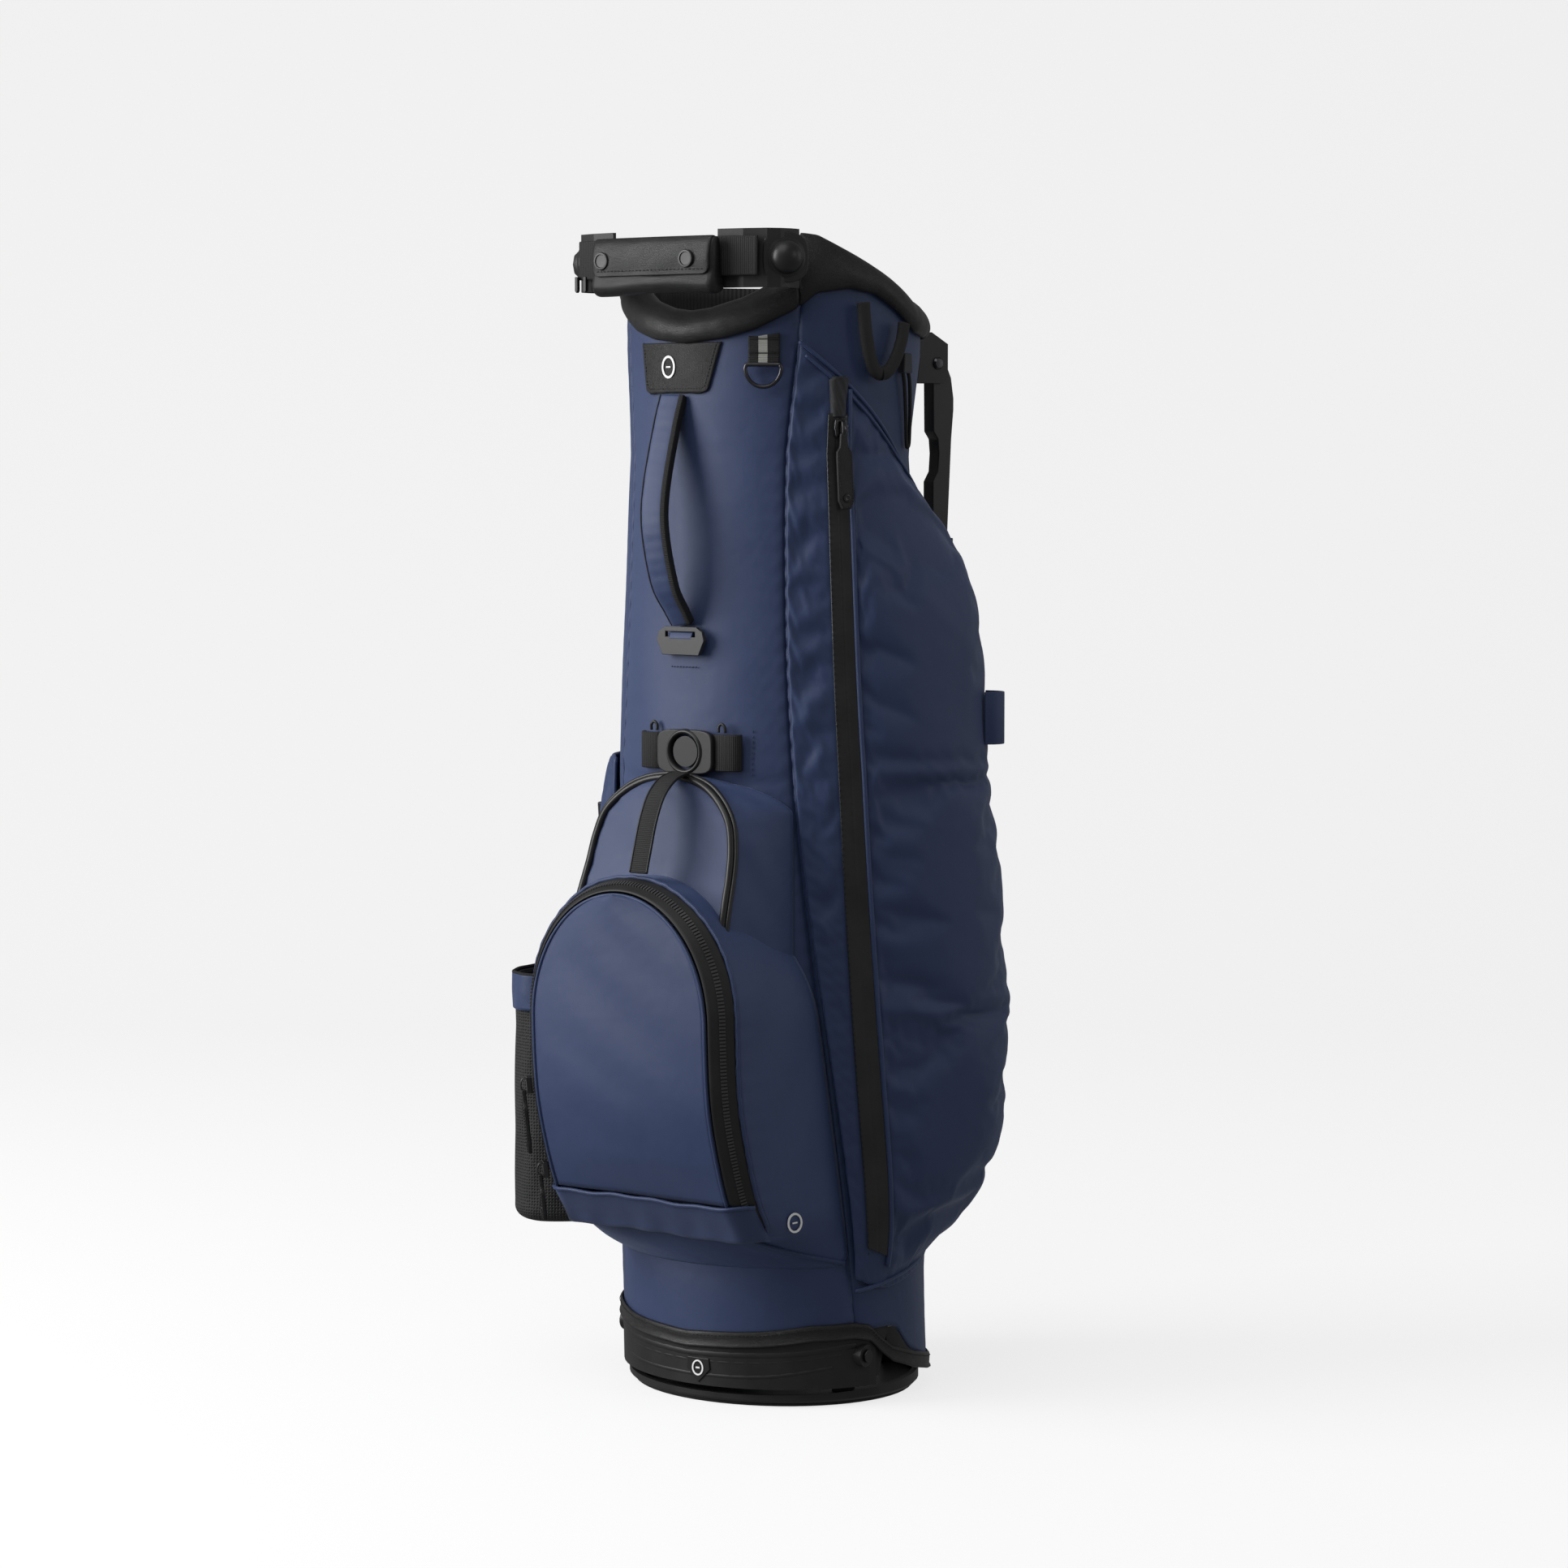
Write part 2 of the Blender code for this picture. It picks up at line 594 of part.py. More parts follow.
def trunk():
    """Four cloth panels sewn at their seams, the lining, the dividers and the spine patch."""
    low = lambda a: DECK_Z + 0.005 if abs(turn_of(a)) > NOTCH else trim_top(turn_of(a)) - TRIM_TALL / 2
    high = lambda a: collar_low(turn_of(a)) + 0.0075
    seam = 0.15
    panels = (
        ("front_panel", -43, 43), ("right_panel", 43, 135), ("rear_panel", 135, 225),
        ("left_panel", 225, 317),
    )
    for name, start, end in panels:
        wall_sheet(
            name, spread(start + seam, end - seam), low, high, -FABRIC, 0.0,
            "navy_cloth" if name == "front_panel" else "navy_side_cloth", levels=LEVELS,
        )
    coarse = [2 * STEP * i for i in range(180 // STEP)]
    wall_sheet(
        "lining", coarse, lambda a: CUP_TOP + 0.001, lambda a: high(a) - 0.0015, -FABRIC - GAP - 0.0008,
        -FABRIC - GAP, "liner_cloth", levels=LEVELS[1:], round_trip=True,
    )
    half = 0.0008
    rings = []
    for z in steps(DECK_Z + DECK + GAP, COLLAR_Z - 0.018, 7):
        half_x, half_y, centre = between(SECTIONS, z)
        x, y = half_x - 0.0105, half_y - 0.0105
        ring = [
            (half, centre - y), (half, centre - half), (x, centre - half), (x, centre + half),
            (half, centre + half), (half, centre + y), (-half, centre + y), (-half, centre + half),
            (-x, centre + half), (-x, centre - half), (-half, centre - half), (-half, centre - y),
        ]
        rings.append([Vector((px, py, z)) for px, py in ring])
    loft("dividers", rings, "liner_cloth")


def collar():
    """Leather-covered foam ring in four lengths, its ribbed throat and the divider frame in it."""
    lengths = (
        ("collar_lip", -SEAM, SEAM), ("collar_cheek_right", SEAM, REAR_SEAM),
        ("collar_rear", REAR_SEAM, 360 - REAR_SEAM), ("collar_cheek_left", 360 - REAR_SEAM, 360 - SEAM),
    )
    for name, start, end in lengths:
        rings = []
        for angle in spread(start + 0.12, end - 0.12):
            bottom, top = collar_low(turn_of(angle)), collar_high(turn_of(angle))
            tall = top - bottom
            section = (  # out from the wall, height
                (GAP, bottom), (0.0035, bottom), (0.0062, bottom + 0.3 * tall),
                (0.0050, bottom + 0.7 * tall), (0.0010, top - 0.0025), (-0.0050, top),
                (-0.0110, top - 0.0018), (GAP - COLLAR_DEPTH, top - 0.008),
                (GAP - COLLAR_DEPTH, bottom + 0.0115), (GAP, bottom + 0.0085),
            )
            rings.append([wall(angle, COLLAR_Z, out).xy.to_3d() + Vector((0, 0, z)) for out, z in section])
        loft(name, rings, "black_leather")
    around = [2 * STEP * i for i in range(180 // STEP)]
    face = -COLLAR_DEPTH - 0.0004
    grids = [
        [[wall(a, COLLAR_Z, out).xy.to_3d() + Vector((0, 0, z(turn_of(a)))) for a in around]
         for z in (lambda a: COLLAR_Z - 0.006, lambda a: collar_high(a) - 0.009)]
        for out in (face, face - 0.0012)
    ]
    slab("throat", grids[0], grids[1], "liner_cloth", round_trip=True)
    frame_out = -COLLAR_DEPTH + 0.004
    frame_z = COLLAR_Z - 0.0165

    def hoop(out):
        levels = (frame_z, frame_z + 0.009)
        return [[wall(a, COLLAR_Z, out).xy.to_3d() + Vector((0, 0, z)) for a in around] for z in levels]

    frame = slab("divider_frame", hoop(frame_out), hoop(frame_out - 0.007), "liner_cloth", round_trip=True)
    long, wide, thick = MOUTH_Y - COLLAR_DEPTH, MOUTH_X - COLLAR_DEPTH, 0.005
    for word, x, y in (("across", wide, thick), ("along", thick, long)):
        rail = box(
            f"rail_{word}", (-x, -y - 0.0045, frame_z + 0.0005), (x, y - 0.0045, frame_z + 0.0085),
            "liner_cloth",
        )
        boolean(frame, rail, "UNION")


# ---- Lift handle --------------------------------------------------------------------------------
def lift_handle():
    """Leather grip on webbing between two ball-jointed brackets at the front corners of the mouth."""
    z = COLLAR_Z + HANDLE_Z
    up = (0, 0, 1)
    strap = [(-0.0835, -0.1318), (-0.060, -0.1375), (-0.030, -0.1400), (0.0, -0.1408), (0.030, -0.1400),
             (0.060, -0.1375), (0.0835, -0.1318)]
    path = [Vector((x, y, z + 0.0015)) for x, y in strap]
    webbing = bar("handle_webbing", path, up, 0.029, 0.0022, "black_webbing")
    rings = []
    for x in steps(-0.0565, 0.0565, 9):
        y = -0.1425 - 0.0030 * (1 - (x / 0.0565) ** 2)
        section = (  # in front of the webbing's face, height from the hinge
            (0.0, 0.0172), (0.0035, 0.0180), (0.0080, 0.0150), (0.0100, 0.0), (0.0095, -0.0115),
            (0.0115, -0.0165), (0.0105, -0.0225), (0.0005, -0.0265), (-0.0055, -0.0240), (-0.0065, -0.0185),
            (-0.0045, -0.0150), (0.0, -0.0142),
        )
        rings.append([Vector((x, y - ahead + 0.0006, z + rise)) for ahead, rise in section])
    grip = loft("handle_grip", rings, "black_leather")
    parts = [webbing, grip]
    for side, word in ((1, "right"), (-1, "left")):
        line = [(0.0935, -0.0965), (0.0945, -0.108), (0.0925, -0.117), (0.0870, -0.1245), (0.070, -0.1305),
                (0.049, -0.1335)]
        plate = [Vector((side * x, y, z)) for x, y in line]
        bracket = bar(f"handle_bracket_{word}", plate, up, 0.043, 0.003, "black_plastic")
        facing = Vector((side * math.sin(math.radians(58)), -math.cos(math.radians(58)), 0))
        dome = turned(
            f"dome_{word}",
            [(0, 0), (0.0145, 0), (0.0150, 0.0030), (0.0115, 0.0045), (0.0105, 0.0085),
             (0.0070, 0.0120), (0, 0.0135)],
            Vector((side * 0.0925, HANDLE_Y - 0.003, z)), facing, "black_plastic", 20,
        )
        boolean(bracket, dome, "UNION")
        parts.append(bracket)
        collar_edge = wall(side * 41, COLLAR_Z, 0.0078)
        stem = [Vector((*collar_edge.xy, z - 0.006)), Vector((side * 0.0850, -0.0945, z - 0.003)),
                Vector((side * 0.0895, -0.1010, z))]
        bar(f"handle_mount_{word}", stem, up, 0.026, 0.005, "black_plastic")
    joint("handle_swing", parts, (0, HANDLE_Y, z))


# ---- Spine hardware -----------------------------------------------------------------------------
def front_sheet(name, sides, low, high, inner, outer, coat, columns=7, rows=3):
    """A sheet on the front of the trunk between two side edges, each a function of height."""

    def grid(out):
        return [[front(x, z, out) for x in steps(*sides(z), columns)] for z in steps(low, high, rows)]

    return slab(name, grid(outer), grid(inner), coat)


def spine_hardware():
    """Patch, padded grab handle with its ring, striped strap with a D-ring, and the magnetic clip."""
    patch_low, patch_high = COLLAR_Z - 0.0365, COLLAR_Z - 0.0012

    def patch_sides(z):
        share = (z - patch_low) / (patch_high - patch_low)
        return -0.046 - 0.005 * share, 0.018 + 0.011 * share

    front_sheet("spine_patch", patch_sides, patch_low, patch_high, 0.0005, 0.0022, "black_leather")
    route = (  # X, out from the trunk, height above the collar
        (-0.013, 0.0032, -0.0385), (-0.013, 0.012, -0.062), (-0.011, 0.0260, -0.107),
        (-0.008, 0.030, -0.138), (-0.004, 0.0225, -0.178), (-0.001, 0.0105, -0.199), (0.0, 0.0038, -0.2078),
    )
    chosen = [front(x, COLLAR_Z + drop, out) for x, out, drop in route]
    bar("spine_handle", smooth_path(chosen, 17), (1, 0, 0), 0.022, 0.0042, "navy_cloth")
    ring_z = COLLAR_Z - 0.2105
    outline = [(-0.0125, 0.0), (0.0125, 0.0), (0.0175, -0.0035), (0.0190, -0.0100), (0.0145, -0.0210),
               (-0.0145, -0.0210), (-0.0190, -0.0100), (-0.0175, -0.0035)]
    seat = front(0, ring_z, 0.0068)
    place = Matrix.Translation(seat) @ Matrix(((1, 0, 0, 0), (0, 0, 1, 0), (0, 1, 0, 0), (0, 0, 0, 1)))
    ring = prism("strap_ring", outline, place, 0.0035, "black_plastic")
    slot = box(
        "ring_slot", (-0.0118, seat.y - 0.01, ring_z - 0.0075), (0.0118, seat.y + 0.01, ring_z - 0.0035),
        "black_plastic",
    )
    boolean(ring, slot, "DIFFERENCE")
    joint("ring_swing", [ring], (0, seat.y + 0.0017, ring_z - 0.0018))
    strap_low, strap_high = COLLAR_Z - 0.0135, COLLAR_Z + 0.0085
    wall_sheet(
        "striped_strap", spread(25, 37), lambda a: strap_low,
        lambda a: strap_high - (37 - a) * 0.0003 - 0.0005, 0.0005, 0.0028, "striped_webbing", levels=(COLLAR_Z - 0.0085,),
    )
    middle, out = 31.0, 0.0060
    radial = Vector((math.sin(math.radians(middle)), -math.cos(math.radians(middle)), 0))
    tangent = Vector((radial.y, -radial.x, 0)) * -1
    top = Vector((*wall(middle, strap_low, out).xy, strap_low - 0.0024))
    hoop = [top + tangent * x - Vector((0, 0, 1)) * d for x, d in ((-0.0120, 0), (0.0120, 0))]
    for turn in range(0, 181, 20):
        a = math.radians(turn)
        hoop.append(top + tangent * 0.0135 * math.cos(a) - Vector((0, 0, 0.002 + 0.0145 * math.sin(a))))
    d_ring = rope("d_ring", hoop, 0.0015, "black_metal", loop=True)
    joint("d_ring_swing", [d_ring], top)
    clip_mid, clip_half, clip_z = 0.005, 0.043, COLLAR_Z - 0.3035
    clip = front_sheet(
        "magnet_clip", lambda z: (clip_mid - clip_half, clip_mid + clip_half),
        clip_z - 0.017, clip_z + 0.017, 0.0006, 0.0065, "black_plastic", columns=13, rows=2,
    )
    face = front(clip_mid + 0.001, clip_z, 0.0065)
    recess = turned(
        "clip_recess", [(0, -0.0030), (0.0128, -0.0030), (0.0135, 0.02), (0, 0.02)], face, (0, -1, 0),
        "black_plastic", 24,
    )
    boolean(clip, recess, "DIFFERENCE")
    turned(
        "clip_magnet", [(0, -0.0026), (0.0118, -0.0026), (0.0118, -0.0012), (0, -0.0012)], face, (0, -1, 0),
        "black_metal", 24,
    )


# ---- Ball pocket and the pocket over it -----------------------------------------------------------
BALL_FACE = (  # height, Y of the pocket's front
    (0.100, -0.135), (0.140, -0.150), (0.165, -0.166), (0.200, -0.179), (0.240, -0.189), (0.290, -0.193),
    (0.450, -0.193),
)


def ball_face(z):
    return between(BALL_FACE, z)[0] + (BALL_FRONT + 0.193)


def arch(half, low, high, rise, count=16):
    """An arched outline in X and Z: up the left side, over the top, down the right, back along its foot."""
    turns = [math.pi * i / (count - 1) for i in range(count)]
    over = [(-half * math.cos(turn), high - rise + rise * math.sin(turn)) for turn in turns]
    sides = steps(low, high - rise, 5)[:-1]
    outline = [(-half, z) for z in sides] + over + [(half, z) for z in reversed(sides)]
    return outline + [(half * share, low) for share in (0.75, 0.5, 0.25, 0.0, -0.25, -0.5, -0.75)]


def ball_pocket():
    """Shell open to the front, its hinged arched door, and two zip sliders with leather pullers."""
    band = BALL_BAND
    rings = []
    for thin in (0.0, 0.0025):
        high = BALL_HIGH - thin
        rim = arch(BALL_HALF + 0.003 - thin, BALL_LOW - 0.003 + thin, high + 0.003, BALL_ARCH)
        edge = arch(BALL_HALF + band - thin, BALL_LOW - 0.027 + thin, high + 0.011, BALL_ARCH + 0.005)
        foot_edge = arch(BALL_HALF - 0.0015 - thin, 0.117 + thin, high + 0.004, BALL_ARCH + 0.008)
        layer = [
            [Vector((x, ball_face(z), z)) for x, z in rim],
            [Vector((x, ball_face(z) + 0.019, z)) for x, z in edge],
            [front(x, z, 0.0018) for x, z in foot_edge],
        ]
        rings += layer if not thin else list(reversed(layer))
    loft("ball_pocket", rings, "navy_side_cloth", closed=True)
    outer, inner = [], []
    low, high = BALL_LOW + 0.0008, BALL_HIGH
    shares = (-1.0, -0.8, -0.4, 0.0, 0.4, 0.8, 1.0)
    heights = steps(low, high - BALL_ARCH, 6)
    heights += [high - BALL_ARCH + BALL_ARCH * math.sin(math.radians(a)) for a in range(12, 85, 12)]
    for z in heights:
        above = max(0.0, (z - (high - BALL_ARCH)) / BALL_ARCH)
        half = BALL_HALF * math.sqrt(1 - above * above)
        crown = 0.005 * min(1.0, (z - low) / 0.03)
        row = [Vector((half * s, ball_face(z) - crown * (1 - s * s), z)) for s in shares]
        outer.append(row)
        inner.append([p + Vector((0, 0.0028, 0)) for p in row])
    door = slab("ball_door", outer, inner, "navy_cloth")
    joint("ball_door_swing", [door], (0, ball_face(low) - 0.0012, low))
    for word, z, reach in (("upper", 0.243, 0.050), ("lower", 0.176, 0.036)):
        corner = Vector((-BALL_HALF - 0.5 * band, ball_face(z) + 0.0095, z))
        away = Vector((-0.72, -0.69, 0)).normalized()
        along = Vector((0.69, -0.72, 0)).normalized()
        up = Vector((0, -0.15, 0.99)).normalized()
        slider(f"ball_slider_{word}", f"ball_puller_{word}", corner + away * 0.0040, away, along, up, reach)


def slider(slider_name, puller_name, at, away, along, up, reach):
    """A zip slider on its track, and the leather puller that hangs from its bail."""
    frame = Matrix((along, up, away)).transposed().to_4x4()
    place = Matrix.Translation(at) @ frame
    outline = [(-0.0045, -0.0065), (0.0045, -0.0065), (0.0055, 0.0), (0.0045, 0.0065), (-0.0045, 0.0065),
               (-0.0055, 0.0)]
    body = prism(slider_name, outline, place, 0.0042, "black_metal")
    hang = at + away * 0.0068 - up * 0.004
    tab = Matrix.Translation(hang) @ frame
    half = 0.0062
    strip = [
        (-0.0025, 0.0), (0.0025, 0.0), (0.0035, -0.010), (half, -0.014), (half, -reach + 0.006),
        (0.0035, -reach), (-0.0035, -reach), (-half, -reach + 0.006), (-half, -0.014), (-0.0035, -0.010),
    ]
    puller = prism(puller_name, strip, tab @ Matrix.Translation((0, 0, -0.0016)), 0.0032, "black_leather")
    joint(slider_name + "_slide", [body], at)
    joint(puller_name + "_swing", [puller], hang)


def upper_pocket():
    """The small pocket over the ball pocket, wedge shaped, with its webbing pull loop."""
    sizes = (  # height, half width, Y of its face
        (0.300, 0.072, -0.170), (0.340, 0.071, -0.165), (0.375, 0.069, -0.156), (0.414, 0.066, -0.142),
        (0.432, 0.0635, -0.138), (0.447, 0.0585, -0.135), (0.460, 0.047, -0.132), (0.469, 0.034, -0.129),
        (0.475, 0.018, -0.127),
    )
    rings = []
    for z, half, face in sizes:
        back = [front(share * (half + 0.007), z, 0.0018) for share in steps(-1, 1, 9)]
        fore = [
            Vector((share * half, face + (0.004 if abs(share) == 1 else 0.0), z))
            for share in (1, 0.93, 0.5, 0, -0.5, -0.93, -1)
        ]
        rings.append(back + fore)
    pocket = loft("upper_pocket", rings, "navy_cloth")
    tool = arch(BALL_HALF + BALL_BAND + 0.004, 0.20, BALL_HIGH + 0.013, BALL_ARCH + 0.006)
    room = loft(
        "ball_room",
        [[Vector((x, y, z)) for x, z in tool] for y in (-0.30, -0.05)],
        "navy_cloth",
    )
    boolean(pocket, room, "DIFFERENCE")
    route = (  # Y and Z
        (-0.1345, 0.4785), (-0.1460, 0.4745), (-0.1580, 0.4640), (-0.1670, 0.4470), (-0.1735, 0.4270),
        (-0.1775, 0.4100),
    )
    bar("pull_loop", smooth_path([Vector((0.009, y, z)) for y, z in route], 11), (1, 0, 0), 0.0165, 0.0020, "black_webbing")


# ---- Side pockets -------------------------------------------------------------------------------
def hump(value, table):
    return between(table, value)[0]


COAT_PLAN = (  # angle, share of the pocket's full depth
    (COAT_START, 0.0), (50, 0.05), (58, 0.10), (66, 0.17), (76, 0.30), (88, 0.48), (100, 0.72), (108, 0.90),
    (114, 1.0), (120, 0.96), (128, 0.74), (137, 0.40), (145, 0.12), (COAT_END, 0.0),
)
COAT_RISE = (  # share of the pocket's height, share of its depth there
    (0.0, 0.0), (0.04, 0.40), (0.09, 0.72), (0.17, 0.94), (0.28, 1.0), (0.45, 0.95), (0.66, 0.80),
    (0.80, 0.74), (0.88, 0.60), (0.95, 0.28), (1.0, 0.0),
)


def coat_low(angle):
    edge = ((COAT_START, 0.098), (60, 0.088), (90, 0.098), (114, 0.112), (COAT_END, 0.125))
    return between(edge, angle)[0]


def coat_high(angle):
    drop = between(((COAT_START, -0.002), (70, 0.040), (110, 0.108), (COAT_END, 0.170)), angle)[0]
    return COLLAR_Z - drop


def coat_out(angle, share):
    """How far the clothing pocket stands out from the trunk."""
    return 0.0035 + COAT_DEPTH * hump(angle, COAT_PLAN) * hump(share, COAT_RISE)


def coat_pocket():
    """The long clothing pocket: a cloth shell against the trunk, its zip, slider and puller."""
    angles = [COAT_START + 0.2] + [row[0] for row in COAT_PLAN[1:-1]] + [COAT_END - 0.2]
    shares = [0.0, 0.04, 0.09, 0.17, 0.28, 0.38, 0.47, 0.55, 0.63, 0.72, 0.80, 0.88, 0.95, 1.0]

    def grid(thin):
        rows = []
        for share in shares:
            row = []
            for angle in angles:
                z = coat_low(angle) + (coat_high(angle) - coat_low(angle)) * share
                row.append(wall(angle, z, max(0.0013, coat_out(angle, share) - thin)))
            rows.append(row)
        return rows

    slab("coat_pocket", grid(0.0), grid(0.0022), "navy_side_cloth")

    def zip_at(z, out):
        angle = between(((0.10, 70.0), (0.40, 64.0), (COLLAR_Z - 0.04, 60.0)), z)[0]
        share = (z - coat_low(angle)) / (coat_high(angle) - coat_low(angle))
        return angle, wall(angle, z, coat_out(angle, share) + out)

    rings = []
    for z in steps(0.118, COLLAR_Z - 0.052, 22):
        corners = []
        for turn, out in ((-4.2, 0.0014), (4.2, 0.0014), (4.2, 0.0025), (-4.2, 0.0025)):
            angle = zip_at(z, 0.0)[0] + turn
            share = (z - coat_low(angle)) / (coat_high(angle) - coat_low(angle))
            corners.append(wall(angle, z, coat_out(angle, share) + out))
        rings.append(corners)
    loft("coat_zip", rings, "zipper")
    z = COLLAR_Z - 0.063
    angle, at = zip_at(z, 0.0040)
    turn = math.radians(angle)
    away = Vector((math.sin(turn), -math.cos(turn), 0))
    up = (zip_at(z, 0)[1] - zip_at(z - 0.15, 0)[1]).normalized()
    along = up.cross(away).normalized()
    slider("coat_slider", "coat_puller", at, along.cross(up), along, up, 0.056)


def bottle_pocket():
    """Open-topped sleeve on the left side, closed below, for a drink bottle."""
    plan = (
        (-0.1010, -0.0930), (-0.1180, -0.1130), (-0.1420, -0.1260), (-0.1640, -0.1180), (-0.1760, -0.0950),
        (-0.1790, -0.0600), (-0.1700, -0.0250), (-0.1500, -0.0020), (-0.1290, 0.0040),
    )
    shift = -(BASE_X - 0.121)
    outer = [Vector((x + shift, y, 0)) for x, y in plan]
    middle = Vector((-0.130 + shift, -0.058, 0))
    back = [wall(a, 0.2, 0.0018) * Vector((1, 1, 0)) for a in (268, 278, 288, 298, 306)]
    wall_side = [Vector(p) for p in back]

    def ring(z, shrink, back=0.0):
        """A level of the sleeve: its outer side drawn in by shrink, its side at the trunk by back."""
        loop = []
        for i, p in enumerate(outer + wall_side):
            inwards = (middle - p).normalized() * (shrink if i < len(outer) else back)
            loop.append(p + inwards + Vector((0, 0, z)))
        return loop

    low, high = BOTTLE_LOW, BOTTLE_HIGH
    loft(
        "bottle_pocket",
        [ring(low, 0.012, 0.004), ring(low + 0.010, 0.003), ring(low + 0.03, 0.0), ring(high, 0.0),
         ring(high, BOTTLE_WALL, BOTTLE_WALL), ring(low + 0.03, BOTTLE_WALL, BOTTLE_WALL),
         ring(low + 0.0115, 0.006, BOTTLE_WALL), ring(low + BOTTLE_WALL, 0.015, 0.006)],
        "black_mesh",
    )


def left_pouch():
    """Small pouch above the bottle pocket."""
    angles = spread(-118, -52)
    shares = (0.0, 0.12, 0.3, 0.6, 0.85, 1.0)
    low, high = BOTTLE_HIGH + 0.022, COLLAR_Z - 0.314

    def grid(thin):
        rows = []
        for share in shares:
            z = low + (high - low) * share
            rise = math.sin(math.pi * min(1.0, 0.08 + share * 0.92)) ** 0.5
            row = []
            for angle in angles:
                across = math.sin(math.pi * (angle + 118.5) / 67.0)
                out = 0.003 + 0.024 * rise * across ** 0.7
                row.append(wall(angle, z, max(0.0008, out - thin)))
            rows.append(row)
        return rows

    slab("left_pouch", grid(0.0), grid(0.0022), "navy_side_cloth")


def side_loops():
    """Soft towel loop and the shock cord that both hang under the collar's right cheek."""
    under = COLLAR_Z + 0.0325
    points = (
        wall(68, under, 0.0105), wall(69, COLLAR_Z + 0.006, 0.0100), wall(72, COLLAR_Z - 0.016, 0.0100),
        wall(77, COLLAR_Z - 0.0225, 0.0100), wall(82, COLLAR_Z - 0.015, 0.0100),
        wall(86, COLLAR_Z + 0.001, 0.0100), wall(88, COLLAR_Z + 0.016, 0.0105),
    )
    rope("towel_loop", smooth_path(list(points), 19), 0.0046, "black_webbing")
    tab, low = COLLAR_Z - 0.018, COLLAR_Z - 0.074
    cord = (
        wall(91.5, tab, 0.0045), wall(94, tab - 0.012, 0.0048), wall(98.5, tab - 0.034, 0.0040),
        wall(103, low, 0.0036), wall(105, low - 0.0025, 0.0036), wall(106, low + 0.002, 0.0036),
        wall(102.5, tab - 0.032, 0.0040), wall(98, tab - 0.010, 0.0048), wall(95.2, tab, 0.0045),
    )
    rope("shock_cord", smooth_path(list(cord), 33), 0.0014, "cord")


boot()
foot()
trunk()
collar()
lift_handle()
spine_hardware()
ball_pocket()
upper_pocket()
coat_pocket()
bottle_pocket()
left_pouch()
side_loops()
stand()
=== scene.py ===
"""A soft golf stand bag, dressed over its working frame: cloth, leather, webbing, zips and moulded parts.

Metres, +Z up. -Y is the spine and ball pocket, +X the side of the clothing pocket, +Y the side of the legs.
Angles round the trunk are in degrees from the spine towards +X.
"""

import math

import bmesh
import bpy
import numpy as np
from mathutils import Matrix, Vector


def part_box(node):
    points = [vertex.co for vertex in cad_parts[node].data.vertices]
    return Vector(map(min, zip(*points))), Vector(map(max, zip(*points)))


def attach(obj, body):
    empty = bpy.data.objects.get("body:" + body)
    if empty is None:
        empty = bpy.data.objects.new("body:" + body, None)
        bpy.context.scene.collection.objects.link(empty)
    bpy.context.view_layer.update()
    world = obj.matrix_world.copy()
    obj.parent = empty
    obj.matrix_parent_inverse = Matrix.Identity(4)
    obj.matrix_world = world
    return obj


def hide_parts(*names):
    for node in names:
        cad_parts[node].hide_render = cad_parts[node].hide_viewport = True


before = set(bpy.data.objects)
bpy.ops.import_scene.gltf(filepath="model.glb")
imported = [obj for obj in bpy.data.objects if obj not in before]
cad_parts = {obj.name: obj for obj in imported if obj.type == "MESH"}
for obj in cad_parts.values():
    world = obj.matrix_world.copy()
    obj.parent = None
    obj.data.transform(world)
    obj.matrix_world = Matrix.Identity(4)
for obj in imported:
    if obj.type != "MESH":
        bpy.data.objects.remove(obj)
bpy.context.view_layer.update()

# ---- Camera, lights and backdrop -------------------------------------------------------------------
# A long lens a little above the middle of the bag, turned towards the clothing pocket's side. A large soft
# light stands at the left, a weak one at the right, and the pale backdrop curves up behind.
VIEW_TURN, VIEW_DISTANCE, VIEW_HEIGHT = math.radians(37), 3.3, 0.72
AIM_SHIFT, AIM_HEIGHT, LENS = 0.0069, 0.463, 98.6

camera = bpy.data.objects.new("camera", bpy.data.cameras.new("camera"))
camera.data.lens = LENS
camera.data.sensor_width = 36
camera.location = (
    VIEW_DISTANCE * math.sin(VIEW_TURN), -VIEW_DISTANCE * math.cos(VIEW_TURN), VIEW_HEIGHT,
)
aim = Vector((AIM_SHIFT * math.cos(VIEW_TURN), AIM_SHIFT * math.sin(VIEW_TURN), AIM_HEIGHT))
camera.rotation_euler = (aim - camera.location).to_track_quat("-Z", "Y").to_euler()
bpy.context.scene.collection.objects.link(camera)
bpy.context.scene.camera = camera


def soft_light(name, turn, distance, height, size, watts, tall=1.0):
    """A rectangular lamp that faces the middle of the bag; turn is from the spine towards +X."""
    lamp = bpy.data.lights.new(name, "AREA")
    lamp.shape = "RECTANGLE"
    lamp.size, lamp.size_y = size, size * tall
    lamp.energy = watts
    made = bpy.data.objects.new(name, lamp)
    turn = math.radians(turn)
    made.location = (distance * math.sin(turn), -distance * math.cos(turn), height)
    made.rotation_euler = (Vector((0, 0, 0.45)) - made.location).to_track_quat("-Z", "Y").to_euler()
    bpy.context.scene.collection.objects.link(made)
    return made


